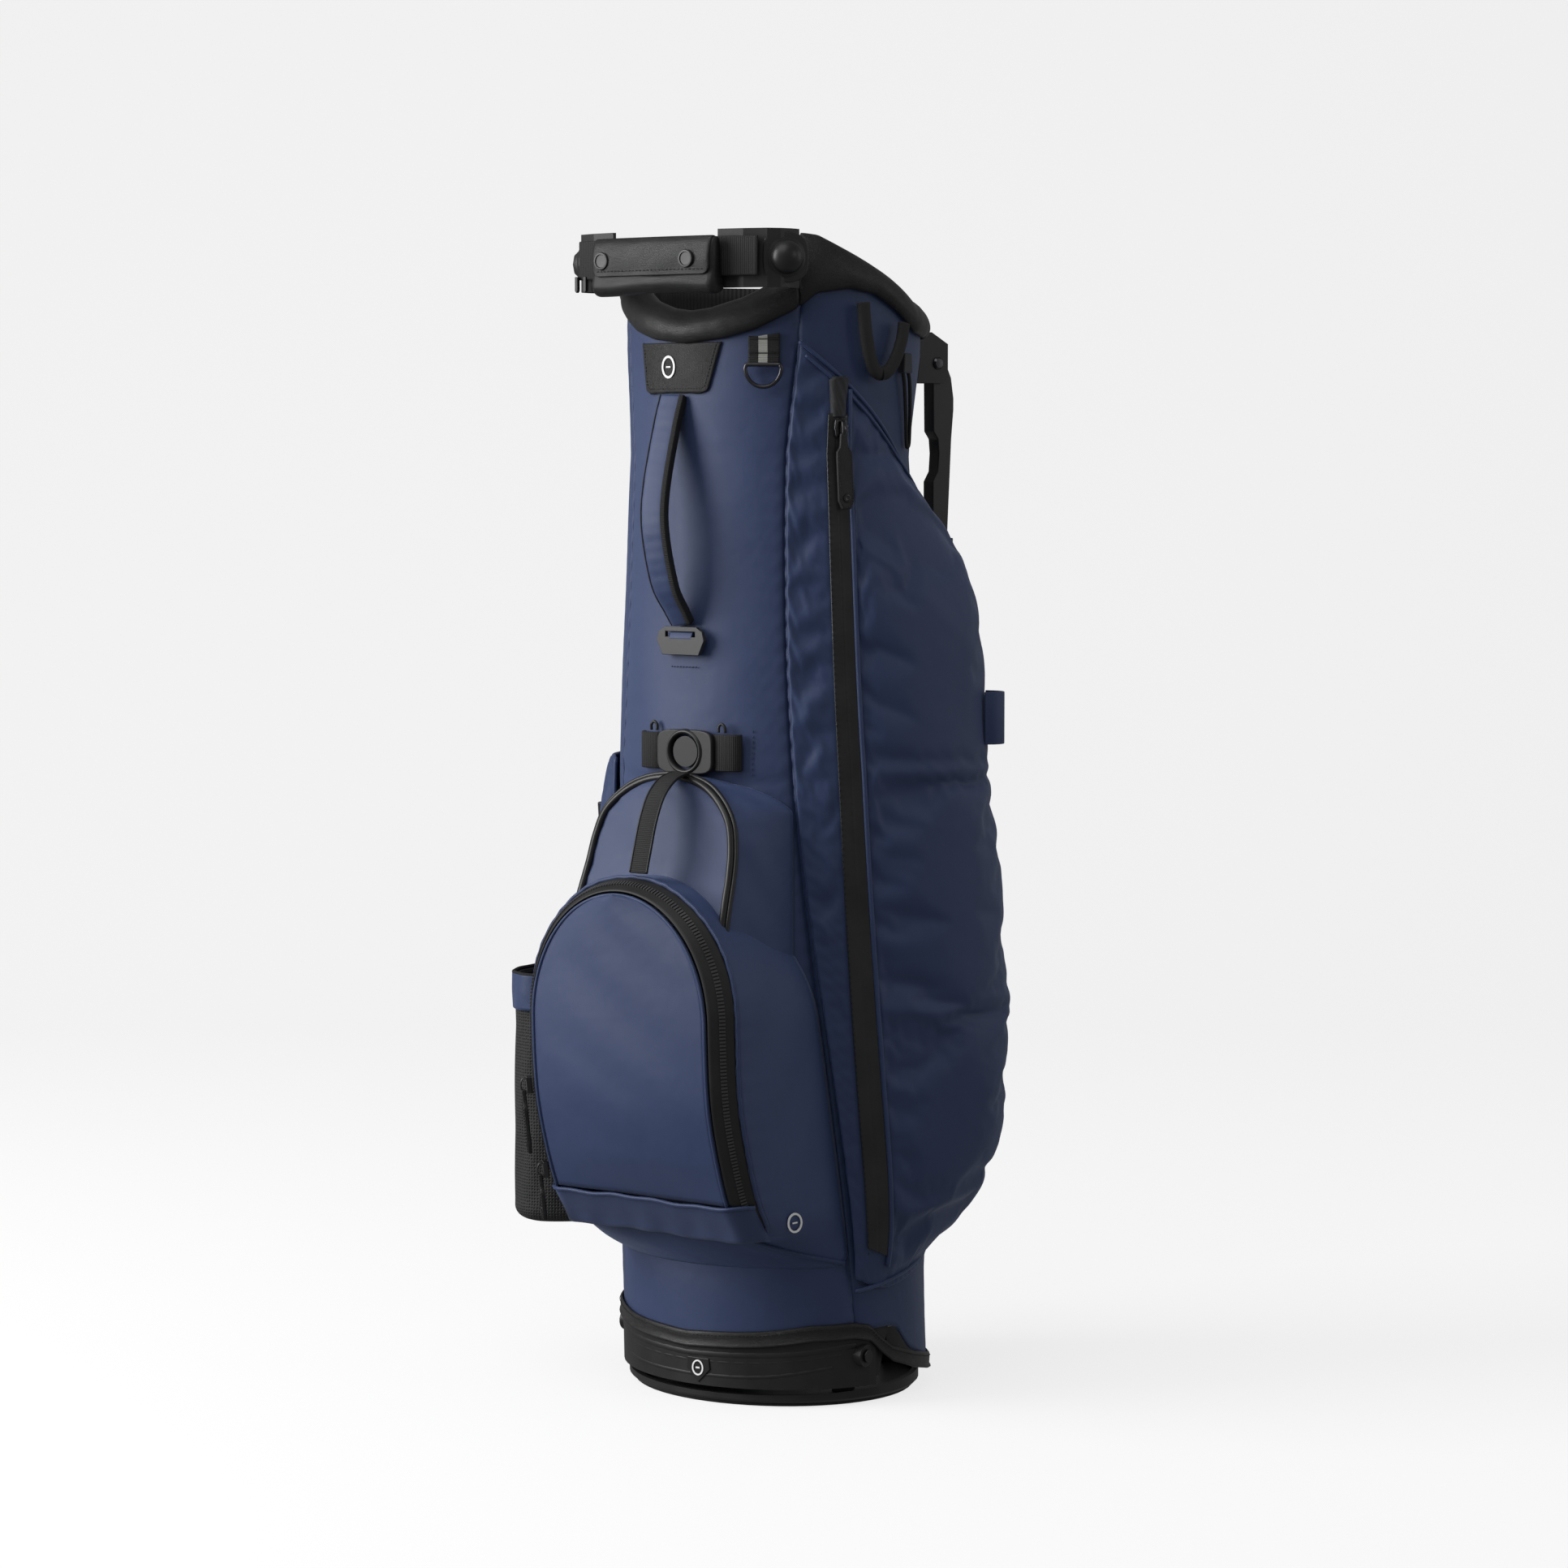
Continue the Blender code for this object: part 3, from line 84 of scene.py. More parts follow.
soft_light("key_light", -40, 2.6, 1.4, 1.5, 84, 1.3)
soft_light("side_light", 128, 2.4, 1.1, 0.9, 4, 1.6)
soft_light("zip_light", 92, 2.2, 1.35, 0.35, 2.5, 2.0)
soft_light("top_light", 10, 1.4, 2.6, 1.8, 20)
world = bpy.data.worlds.new("studio")
world.use_nodes = True
world.node_tree.nodes["Background"].inputs["Color"].default_value = (1.0, 1.0, 1.0, 1.0)
world.node_tree.nodes["Background"].inputs["Strength"].default_value = 0.22
bpy.context.scene.world = world
bpy.context.scene.view_settings.view_transform = "Standard"


class Value:
    """A shader socket that arithmetic works on: each operator adds the Math node it stands for."""

    def __init__(self, paint, socket):
        self.paint, self.socket = paint, socket

    def math(self, operation, *values):
        sockets = {i: value for i, value in enumerate(values)}
        return self.paint.node("ShaderNodeMath", {"operation": operation}, sockets)

    def __add__(self, other):
        return self.math("ADD", self, other)

    __radd__ = __add__

    def __sub__(self, other):
        return self.math("SUBTRACT", self, other)

    def __rsub__(self, other):
        return self.math("SUBTRACT", other, self)

    def __mul__(self, other):
        return self.math("MULTIPLY", self, other)

    __rmul__ = __mul__


class Paint:
    """A material under construction, on a Principled shader."""

    def __init__(self, name, **constants):
        self.material = bpy.data.materials.new(name)
        self.material.use_nodes = True
        self.tree = self.material.node_tree
        self.shader = self.tree.nodes["Principled BSDF"]
        for key, value in constants.items():
            socket = self.shader.inputs[key.replace("_", " ")]
            socket.default_value = (*value, 1.0) if isinstance(value, tuple) else value

    def node(self, kind, settings=None, sockets=None, out=0):
        """Adds a node: its settings first, then the values or links of its sockets."""
        made = self.tree.nodes.new(kind)
        for key, value in (settings or {}).items():
            setattr(made, key, value)
        for key, value in (sockets or {}).items():
            if isinstance(value, Value):
                self.tree.links.new(value.socket, made.inputs[key])
            else:
                made.inputs[key].default_value = value
        return Value(self, made.outputs[out])

    def feed(self, key, value):
        self.tree.links.new(value.socket, self.shader.inputs[key])

    def noise(self, place, scale, detail=2.0, rough=0.5):
        sockets = {"Vector": place, "Scale": scale, "Detail": detail, "Roughness": rough}
        return self.node("ShaderNodeTexNoise", None, sockets)

    def ramp(self, value, low, high, start=0.0, end=1.0):
        """value's stretch from start to end, as low to high."""
        sockets = {"Value": value, "From Min": start, "From Max": end, "To Min": low, "To Max": high}
        return self.node("ShaderNodeMapRange", None, sockets)

    def blend(self, share, one, other):
        """A colour between two, by a share."""
        sockets = {0: share, 6: one if isinstance(one, Value) else (*one, 1.0)}
        sockets[7] = other if isinstance(other, Value) else (*other, 1.0)
        return self.node("ShaderNodeMix", {"data_type": "RGBA"}, sockets, out=2)

    def bump(self, height, depth, under=None):
        sockets = {"Height": height, "Distance": depth, "Strength": 1.0}
        if under:
            sockets["Normal"] = under
        return self.node("ShaderNodeBump", None, sockets)


backdrop_paint = Paint(
    "backdrop", Base_Color=(0.21, 0.21, 0.21), Roughness=0.9, Emission_Color=(1.0, 1.0, 1.0),
    Emission_Strength=0.765
)
backdrop_grain = backdrop_paint.noise(backdrop_paint.node("ShaderNodeTexCoord", out=3), 3.0)
backdrop_paint.feed("Roughness", backdrop_paint.ramp(backdrop_grain, 0.85, 0.95))
BACK, BEND, WIDE = 3.5, 1.5, 9.0  # distance of the upright part, radius of its curve, half width
profile = [(-6.0, 0.0), (BACK - BEND, 0.0)]
profile += [
    (BACK - BEND + BEND * math.sin(math.radians(a)), BEND - BEND * math.cos(math.radians(a)))
    for a in range(5, 91, 5)
]
profile += [(BACK, 7.0)]
ahead = Vector((-math.sin(VIEW_TURN), math.cos(VIEW_TURN), 0))
across = Vector((math.cos(VIEW_TURN), math.sin(VIEW_TURN), 0))
points = [ahead * d + across * side * WIDE + Vector((0, 0, z)) for d, z in profile for side in (-1, 1)]
faces = [(2 * i, 2 * i + 1, 2 * i + 3, 2 * i + 2) for i in range(len(profile) - 1)]
mesh = bpy.data.meshes.new("backdrop")
mesh.from_pydata(points, [], faces)
mesh.shade_smooth()
mesh.materials.append(backdrop_paint.material)
backdrop = bpy.data.objects.new("backdrop", mesh)
bpy.context.scene.collection.objects.link(backdrop)
backdrop.visible_diffuse = backdrop.visible_glossy = False

# ---- Trunk cloth -----------------------------------------------------------------------------------
# Four panels of coated nylon over foam, sewn edge to edge into a soft oval tube. The seams pull the cloth
# in to a narrow groove, with short puckers along it, and the spine panel has a cross seam over the pockets.
collar_low_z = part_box("collar_lip")[0].z
TRUNK = (  # height, half width along X, half width along Y, centre along Y
    (0.030, 0.1210, 0.1100, 0.0000), (0.090, 0.1210, 0.1098, -0.0030), (0.300, 0.1205, 0.1090, -0.0060),
    (collar_low_z - 0.3185, 0.1200, 0.1085, -0.0065), (collar_low_z - 0.0825, 0.1100, 0.0995, -0.0070),
    (collar_low_z - 0.0085, 0.1155, 0.1050, -0.0020),
)
CLOTH_ROWS = 0.004  # height between rows of the cloth's mesh
SEAM_WIDE, SEAM_DEEP = 0.0042, 0.0011


def between(table, at):
    """The rest of a sorted table's row at a value of its first column."""
    columns = list(zip(*table))
    values = tuple(float(np.interp(at, columns[0], column)) for column in columns[1:])
    return values if len(values) > 1 else values[0]


def eased(table, at):
    """As between, on a curve without corners."""
    first = [row[0] for row in table]
    at = min(max(at, first[0]), first[-1])
    i = min(max(int(np.searchsorted(first, at)) - 1, 0), len(table) - 2)
    reach = first[i + 1] - first[i]
    t = (at - first[i]) / reach

    def slope(k):
        if 0 < k < len(table) - 1:
            return [
                (b - a) / (first[k + 1] - first[k - 1]) for a, b in zip(table[k - 1][1:], table[k + 1][1:])
            ]
        near, far = (0, 1) if k == 0 else (k - 1, k)
        return [(b - a) / (first[far] - first[near]) for a, b in zip(table[near][1:], table[far][1:])]

    found = []
    for a, b, m, n in zip(table[i][1:], table[i + 1][1:], slope(i), slope(i + 1)):
        m, n = m * reach, n * reach
        found.append(
            (2 * t**3 - 3 * t**2 + 1) * a + (t**3 - 2 * t**2 + t) * m
            + (-2 * t**3 + 3 * t**2) * b + (t**3 - t**2) * n
        )
    return tuple(found) if len(found) > 1 else found[0]


def wall(angle, z, out=0.0):
    """A point on the trunk's outer face, or out from it."""
    half_x, half_y, centre = between(TRUNK, z)
    turn = math.radians(angle)
    return Vector(((half_x + out) * math.sin(turn), centre - (half_y + out) * math.cos(turn), z))


def spine(x, z, out=0.0):
    """A point on the trunk's front at a given X, or out from it."""
    half_x, half_y, centre = between(TRUNK, z)
    share = min(1.0, abs(x) / (half_x + out))
    return Vector((x, centre - (half_y + out) * math.sqrt(1.0 - share * share), z))


def ripple(value, number):
    """A repeatable uneven wave, from -1 to 1."""
    return 0.55 * math.sin(value * 1.0 + number * 2.1) + 0.45 * math.sin(value * 2.63 + number * 5.7)


def linked(name, mesh, paint=None):
    made = bpy.data.objects.new(name, mesh)
    bpy.context.scene.collection.objects.link(made)
    if paint:
        mesh.materials.append(paint.material)
    return made


def sheet_mesh(name, rows, paint, thick=0.0, round_trip=False, inward=False):
    """A smooth surface through rows of points, with a UV map in metres. It gets a wall if thick isn't 0."""
    count, width = len(rows), len(rows[0])
    mesh = bpy.data.meshes.new(name)
    last = width if round_trip else width - 1
    faces = [
        (i * width + j, i * width + (j + 1) % width, (i + 1) * width + (j + 1) % width, (i + 1) * width + j)
        for i in range(count - 1)
        for j in range(last)
    ]
    mesh.from_pydata([p for row in rows for p in row], [], faces)
    uv = mesh.uv_layers.new(name="UVMap")
    grid = np.array([[tuple(p) for p in row] for row in rows])
    if round_trip:
        grid = np.concatenate([grid, grid[:, :1]], axis=1)
    zero_u, zero_v = np.zeros((count, 1)), np.zeros((1, grid.shape[1]))
    u = np.concatenate([zero_u, np.linalg.norm(np.diff(grid, axis=1), axis=2).cumsum(axis=1)], axis=1)
    v = np.concatenate([zero_v, np.linalg.norm(np.diff(grid, axis=0), axis=2).cumsum(axis=0)], axis=0)
    at = 0
    for i in range(count - 1):
        for j in range(last):
            for a, b in ((i, j), (i, j + 1), (i + 1, j + 1), (i + 1, j)):
                uv.data[at].uv = (u[a, b], v[a, b])
                at += 1
    if inward:
        mesh.flip_normals()
    mesh.shade_smooth()
    made = linked(name, mesh, paint)
    if thick:
        wall_of = made.modifiers.new("wall", "SOLIDIFY")
        wall_of.thickness, wall_of.offset = thick, -1
    return made


THREAD = 0.0007  # pitch of the weave


def cloth_paint(name, colour, shade, gloss=0.50):
    """Coated nylon: a fine plain weave, faint slubs, and a satin face that greys towards the light."""
    paint = Paint(name, Base_Color=colour, Roughness=gloss, Sheen_Weight=0.22, Sheen_Roughness=0.45)
    paint.shader.inputs["Sheen Tint"].default_value = (0.55, 0.66, 1.0, 1.0)
    paint.shader.inputs["Specular IOR Level"].default_value = 0.42
    place = paint.node("ShaderNodeTexCoord", out=2)
    split = paint.tree.nodes.new("ShaderNodeSeparateXYZ")
    paint.tree.links.new(place.socket, split.inputs[0])
    warp, weft = (Value(paint, split.outputs[n]) * (2 * math.pi / THREAD) for n in (0, 1))
    weave = warp.math("SINE", warp) * weft.math("SINE", weft) * 0.5 + 0.5
    slub = paint.noise(place, 160.0, 3.0, 0.6)
    fade = paint.noise(place, 9.0, 2.0)
    tone = paint.ramp(fade, 0.25, 0.75) + (slub - 0.5) * 0.5 + (weave - 0.5) * 0.22
    paint.feed("Base Color", paint.blend(tone, shade, colour))
    paint.feed("Roughness", paint.ramp(slub, gloss - 0.06, gloss + 0.07))
    soft = paint.bump(paint.noise(place, 26.0, 2.0), 0.0009)
    paint.feed("Normal", paint.bump(weave, 0.00006, soft))
    return paint


NAVY, NAVY_SHADE = (0.030, 0.050, 0.128), (0.020, 0.035, 0.098)
navy_cloth = cloth_paint("navy_cloth", NAVY, NAVY_SHADE)
# A darker copy of the navy cloth: painted shade for the side and rear panels and pockets that face away from
# the key light.
painted_shade_side_cloth = cloth_paint("painted_shade_side_cloth", (0.023, 0.043, 0.116), (0.016, 0.031, 0.090))

BOOT_TRIM = (  # angle from the spine, height of the trim's upper edge
    (0, 0.056), (30, 0.059), (48, 0.0636), (65, 0.064), (72, 0.061), (77, 0.0515), (83, 0.0425),
    (97, 0.0336), (112, 0.027), (127, 0.022), (142, 0.020),
)
RIM_LOW = (  # angle, height of the rim's lower edge above its lowest point
    (0, 0.0), (16, 0.0035), (28, 0.010), (44, 0.0255), (51, 0.0365), (64, 0.040), (75, 0.0365),
    (89, 0.0235), (102, 0.0091), (112, 0.006), (180, 0.004),
)
CROSS_SEAM = 0.469  # height of the seam over the front pockets
MAIN_SEAM = (  # height, angle of the seams at both sides of the spine panel
    (0.030, 66.0), (0.090, 65.0), (0.247, 56.0), (0.387, 47.0), (0.470, 43.0), (0.580, 40.5),
    (0.715, 41.0), (0.840, 45.5),
)


def seam_at(z):
    return eased(MAIN_SEAM, z)


def half_turn(angle):
    """An angle's distance from the spine, from 0 to 180."""
    angle = angle % 360
    return min(angle, 360 - angle)


def trunk_panel(name, start, end, paint):
    """One sewn panel of the trunk, its edges drawn in at the seams and lightly puckered along them."""
    angles = np.linspace(start, end, int((end - start) / 1.5) + 1)
    seed = start / 40

    def turned(angle, z):
        """The angle, with the seams beside the spine where they run at this height."""
        first = {-43: -seam_at(z), 43: seam_at(z)}.get(start, start)
        last = {43: seam_at(z), 317: 360 - seam_at(z)}.get(end, end)
        return first + (last - first) * (angle - start) / (end - start)

    def relief(angle, z):
        edge = min(angle - start, end - angle) * math.radians(1) * 0.11
        groove = SEAM_DEEP * math.exp(-((edge / SEAM_WIDE) ** 2) * 2.2)
        pucker = 0.0005 * math.exp(-edge / 0.012) * ripple(z * 420, seed)
        billow = 0.0011 * (1 - math.exp(-edge / 0.03)) * ripple(z * 17 + angle * 0.05, seed + 1)
        if name == "front_cloth":
            off = (z - CROSS_SEAM - 0.00006 * angle**2 * 0.06) / 0.0032
            billow -= 0.0016 * math.exp(-off * off)
            if z < CROSS_SEAM:
                billow += 0.0007 * math.exp(off / 6) * ripple(angle * 1.9, 3)
        return billow * 0.8 + pucker - groove

    rows = []
    lows = [
        max(0.021, float(between(BOOT_TRIM, half_turn(a))) - 0.006) if half_turn(a) < 142 else 0.085
        for a in angles
    ]
    highs = [collar_low_z + between(RIM_LOW, half_turn(a)) + 0.0075 for a in angles]
    count = int(0.75 / CLOTH_ROWS)
    for i in range(count + 1):
        share = i / count
        row = []
        for angle, low, high in zip(angles, lows, highs):
            z = low + (high - low) * share
            row.append(wall(turned(angle, z), z, relief(angle, z)))
        rows.append(row)
    return sheet_mesh(name, rows, paint, thick=0.0018)


# The side and rear panels take the darker copy of the navy cloth, whose colour holds painted shade.
for name, node, start, end, paint in (
    ("front_cloth", "front_panel", -43, 43, navy_cloth), ("right_cloth", "right_panel", 43, 135, painted_shade_side_cloth),
    ("rear_cloth", "rear_panel", 135, 225, painted_shade_side_cloth), ("left_cloth", "left_panel", 225, 317, painted_shade_side_cloth),
):
    panel = trunk_panel(name, start, end, paint)
    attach(panel, "bag")
    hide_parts(node)
    "navy_cloth" if node == "front_panel" else "navy_side_cloth"

# ---- Rim of the mouth ------------------------------------------------------------------------------
# A foam ring covered in smooth black synthetic leather, sewn in four lengths that meet at deep seams. The
# front length dips as a low lip, and the two cheeks rise behind it to the lift handle's brackets.
RIM_HIGH = (  # angle, height of the rim's upper edge above the lowest point of its lower edge
    (0, 0.0225), (9, 0.0245), (22, 0.0315), (32, 0.0405), (43.8, 0.056), (44.2, 0.0795), (52, 0.0775),
    (69, 0.0625), (86, 0.0475), (102, 0.0325), (118, 0.027), (180, 0.030),
)
RIM_DEEP = 0.016
RIM_SEAM = 0.0016  # depth of the seams between lengths


def leather_paint(name, colour, gloss=0.42, grain=0.00016, crease_deep=0.0005):
    """Synthetic leather: pebbled grain with fine creases, worn a little smoother on the high spots."""
    paint = Paint(name, Base_Color=colour, Roughness=gloss, Coat_Weight=0.05, Coat_Roughness=0.40)
    paint.shader.inputs["Specular IOR Level"].default_value = 0.32
    place = paint.node("ShaderNodeTexCoord", out=3)
    cells = paint.node(
        "ShaderNodeTexVoronoi", {"feature": "DISTANCE_TO_EDGE"}, {"Vector": place, "Scale": 850.0}
    )
    pebble = paint.ramp(cells, 0.0, 1.0, 0.0, 0.12)
    wear = paint.noise(place, 22.0, 4.0, 0.6)
    lighter = tuple(min(1.0, c * 1.9 + 0.006) for c in colour)
    paint.feed("Base Color", paint.blend(paint.ramp(wear, 0.0, 1.0, 0.35, 0.8), colour, lighter))
    paint.feed("Roughness", paint.ramp(wear, gloss + 0.08, gloss - 0.06) + (pebble - 0.5) * -0.08)
    crease = paint.bump(paint.noise(place, 60.0, 3.0), crease_deep)
    paint.feed("Normal", paint.bump(pebble, grain, crease))
    return paint


rim_leather = leather_paint("rim_leather", (0.0070, 0.0070, 0.0075), 0.44, 0.00010)


def rounded_section(points, number):
    """A closed smooth curve near a few points, at even shares."""
    found = []
    count = len(points)
    for k in range(number):
        at = k / number * count
        i, t = int(at), at - int(at)
        a, b, c, d = (points[(i + n) % count] for n in (-1, 0, 1, 2))
        weights = (
            (1 - t) ** 3 / 6, (3 * t**3 - 6 * t**2 + 4) / 6, (-3 * t**3 + 3 * t**2 + 3 * t + 1) / 6,
            t**3 / 6
        )
        found.append(tuple(sum(w * p[n] for w, p in zip(weights, (a, b, c, d))) for n in range(2)))
    return found


def sealed(made, weld=False):
    """Closes a mesh's open ends and turns its faces outwards."""
    shape = bmesh.new()
    shape.from_mesh(made.data)
    if weld:
        bmesh.ops.remove_doubles(shape, verts=shape.verts, dist=1e-6)
    bmesh.ops.holes_fill(shape, edges=[e for e in shape.edges if e.is_boundary])
    bmesh.ops.recalc_face_normals(shape, faces=shape.faces)
    shape.to_mesh(made.data)
    shape.free()
    return made


def rim_length(name, node, start, end):
    rings = []
    number = max(24, int((end - start) / 1.2))
    for i in range(number + 1):
        angle = start + 0.1 + (end - start - 0.2) * i / number
        near = min(angle - start, end - angle) * math.radians(1) * 0.11
        pinch = RIM_SEAM * math.exp(-near / 0.0016)
        side = half_turn(angle)
        bottom = collar_low_z + between(RIM_LOW, side)
        top = collar_low_z + between(RIM_HIGH, side)
        tall = top - bottom
        wave = 0.0003 * ripple(angle * 0.35, start)
        section = (
            (0.0, bottom + 0.0005), (0.0036, bottom - 0.0006), (0.0074, bottom + 0.16 * tall),
            (0.0080 + wave, bottom + 0.45 * tall), (0.0056, bottom + 0.78 * tall), (0.0012, top + 0.0012),
            (-0.0055, top + 0.0030), (-0.0122, top + 0.0006), (-RIM_DEEP - 0.0006, top - 0.008),
            (-RIM_DEEP, bottom + 0.0115), (-0.004, bottom + 0.0085), (0.0, bottom + 0.0075),
        )
        middle_out = sum(p[0] for p in section) / len(section)
        middle_z = sum(p[1] for p in section) / len(section)
        ring = []
        for out, z in rounded_section(section, 40):
            away = math.hypot(out - middle_out, z - middle_z)
            shrink = 1 - pinch / max(away, 0.001)
            point = wall(angle, collar_low_z, middle_out + (out - middle_out) * shrink)
            ring.append(Vector((point.x, point.y, middle_z + (z - middle_z) * shrink)))
        rings.append(ring)
    made = sealed(sheet_mesh(name, rings, rim_leather, round_trip=True))
    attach(made, "bag")
    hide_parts(node)


for name, node, start, end in (
    ("rim_front", "collar_lip", -44, 44), ("rim_cheek_right", "collar_cheek_right", 44, 118),
    ("rim_rear", "collar_rear", 118, 242), ("rim_cheek_left", "collar_cheek_left", 242, 316),
):
    rim_length(name, node, start, end)

# ---- Ball pocket -----------------------------------------------------------------------------------
# A deep pocket on the spine with a flat arched door. A black zip band bevels round the door, navy piping
# closes both its edges, and a soft cuff of cloth crosses the front under the door.
BALL_HALF, BALL_LOW, BALL_HIGH = 0.0815, 0.165, 0.3935  # the door
BALL_ARCH, BALL_BAND, BALL_BEVEL = 0.095, 0.015, 0.019
BALL_FACE = (
    (0.100, -0.135), (0.140, -0.151), (0.165, -0.166), (0.200, -0.179), (0.240, -0.189), (0.290, -0.193),
    (0.340, -0.193), (0.450, -0.193),
)


def ball_face(z):
    return eased(BALL_FACE, z)


def arch_line(half, low, high, rise, corner=0.004, step=0.003):
    """Up the left side of an arch, over its top and down its right side, as (X, Z) points."""
    points = [(-half, z) for z in np.arange(low + corner, high - rise, step)]
    points += [
        (-half * math.cos(a), high - rise + rise * math.sin(a))
        for a in np.linspace(0, math.pi, int(math.pi * half / step))
    ]
    points += [(half, z) for z in np.arange(high - rise, low + corner, -step)][1:]
    return points


def arch_loop(half, low, high, rise, corner):
    """The same outline closed along its bottom, with round lower corners."""
    line = arch_line(half, low, high, rise, corner)
    turn = [
        (half - corner + corner * math.cos(a), low + corner - corner * math.sin(a))
        for a in np.linspace(0, math.pi / 2, 7)
    ]
    base = [(x, low) for x in np.linspace(half - corner, -half + corner, 36)[1:-1]]
    return line + turn + base + [(-x, z) for x, z in reversed(turn)]


def evened(points, number):
    """Points at even distances along a closed or open line of them."""
    line = np.array([tuple(p) for p in points])
    along = np.concatenate([[0], np.linalg.norm(np.diff(line, axis=0), axis=1).cumsum()])
    at = np.linspace(0, along[-1], number)
    return np.stack([np.interp(at, along, line[:, k]) for k in range(line.shape[1])], axis=1)


def curve_through(points, number):
    """A smooth line through a few points, as evenly spaced vectors."""
    table = [(k, *p) for k, p in enumerate(points)]
    fine = [Vector(eased(table, k)) for k in np.linspace(0, len(points) - 1, number * 4)]
    return [Vector(p) for p in evened(fine, number)]


def sweep(name, path, section, paint, side=None, closed=False):
    """A section, (sideways, up) pairs, carried along a path; side is the direction of sideways there."""
    path = [Vector(p) for p in path]
    count = len(path)
    rows, last_side = [], None
    for i, point in enumerate(path):
        ahead = (path[(i + 1) % count] - path[i - 1]) if closed else (
            path[min(i + 1, count - 1)] - path[max(i - 1, 0)]
        )
        ahead.normalize()
        if side is not None:
            across = Vector(side[i] if isinstance(side, list) else side)
        else:
            across = last_side or ahead.orthogonal()
        across = (across - ahead * across.dot(ahead)).normalized()
        last_side = across
        up = across.cross(ahead)
        rows.append([point + across * a + up * b for a, b in section])
    if closed:
        rows.append(rows[0])
    made = sealed(sheet_mesh(name, rows, paint, round_trip=True), weld=closed)
    made.data.shade_smooth()
    return made


def circle(radius, sides=10):
    return [
        (radius * math.cos(2 * math.pi * k / sides), radius * math.sin(2 * math.pi * k / sides))
        for k in range(sides)
    ]


def strip(wide, thick, edge=None):
    """The section of a flat strap with round edges."""
    r = edge or thick / 2
    corners = []
    for cx, cy, start in ((1, 1, 0), (-1, 1, 90), (-1, -1, 180), (1, -1, 270)):
        for turn in (0, 30, 60, 90):
            a = math.radians(start + turn)
            corners.append((cx * (wide / 2 - r) + r * math.cos(a), cy * (thick / 2 - r) + r * math.sin(a)))
    return corners


def place_on(piece, body, slot, *nodes):
    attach(piece, body)
    if nodes:
        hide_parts(*nodes)
    return piece


def repeat_tree(shape):
    """Small parts at an even pitch along a line; the line's points hold the way each part faces."""
    tree = bpy.data.node_groups.new(shape + "_row", "GeometryNodeTree")
    face = tree.interface
    face.new_socket("Geometry", in_out="INPUT", socket_type="NodeSocketGeometry")
    for label in ("Pitch", "Length", "Width", "Height", "Sway"):
        face.new_socket(label, in_out="INPUT", socket_type="NodeSocketFloat")
    face.new_socket("Material", in_out="INPUT", socket_type="NodeSocketMaterial")
    face.new_socket("Geometry", in_out="OUTPUT", socket_type="NodeSocketGeometry")
    nodes, links = tree.nodes, tree.links

    def add(kind, settings=None, **sockets):
        made = nodes.new(kind)
        for key, value in (settings or {}).items():
            setattr(made, key, value)
        for key, value in sockets.items():
            key = int(key[1:]) if key[0] == "n" and key[1:].isdigit() else key.replace("_", " ")
            if isinstance(value, bpy.types.NodeSocket):
                links.new(value, made.inputs[key])
            else:
                made.inputs[key].default_value = value
        return made.outputs

    given = nodes.new("NodeGroupInput").outputs
    line = add("GeometryNodeMeshToCurve", Mesh=given["Geometry"])[0]
    even = add(
        "GeometryNodeResampleCurve", {"mode": "LENGTH"}, Curve=line, Length=given["Pitch"]
    )[0]
    tangent = add("GeometryNodeInputTangent")[0]
    facing = add("GeometryNodeInputNamedAttribute", {"data_type": "FLOAT_VECTOR"}, Name="facing")[0]
    turned = add("FunctionNodeAlignEulerToVector", {"axis": "X"}, Vector=tangent)[0]
    turned = add(
        "FunctionNodeAlignEulerToVector", {"axis": "Z", "pivot_axis": "X"}, Rotation=turned, Vector=facing
    )[0]
    if shape == "stitch":
        part = add("GeometryNodeMeshUVSphere", Segments=6, Rings=5, Radius=0.5)[0]
    else:
        part = add("GeometryNodeMeshCube", Size=(1.0, 1.0, 1.0))[0]
    size = add("ShaderNodeCombineXYZ", X=given["Length"], Y=given["Width"], Z=given["Height"])[0]
    placed = add("GeometryNodeInstanceOnPoints", Points=even, Instance=part, Rotation=turned, Scale=size)[0]
    number = add("GeometryNodeInputIndex")[0]
    odd = add("ShaderNodeMath", {"operation": "MODULO"}, n0=number, n1=2.0)[0]
    off = add("ShaderNodeMath", {"operation": "SUBTRACT"}, n0=odd, n1=0.5)[0]
    off = add("ShaderNodeMath", {"operation": "MULTIPLY"}, n0=off, n1=given["Sway"])[0]
    move = add("ShaderNodeCombineXYZ", Y=off)[0]
    placed = add(
        "GeometryNodeTranslateInstances", Instances=placed, Translation=move, Local_Space=True
    )[0]
    real = add("GeometryNodeRealizeInstances", Geometry=placed)[0]
    done = add("GeometryNodeSetMaterial", Geometry=real, Material=given["Material"])[0]
    links.new(done, nodes.new("NodeGroupOutput").inputs["Geometry"])
    return tree


TREES = {shape: repeat_tree(shape) for shape in ("stitch", "tooth")}


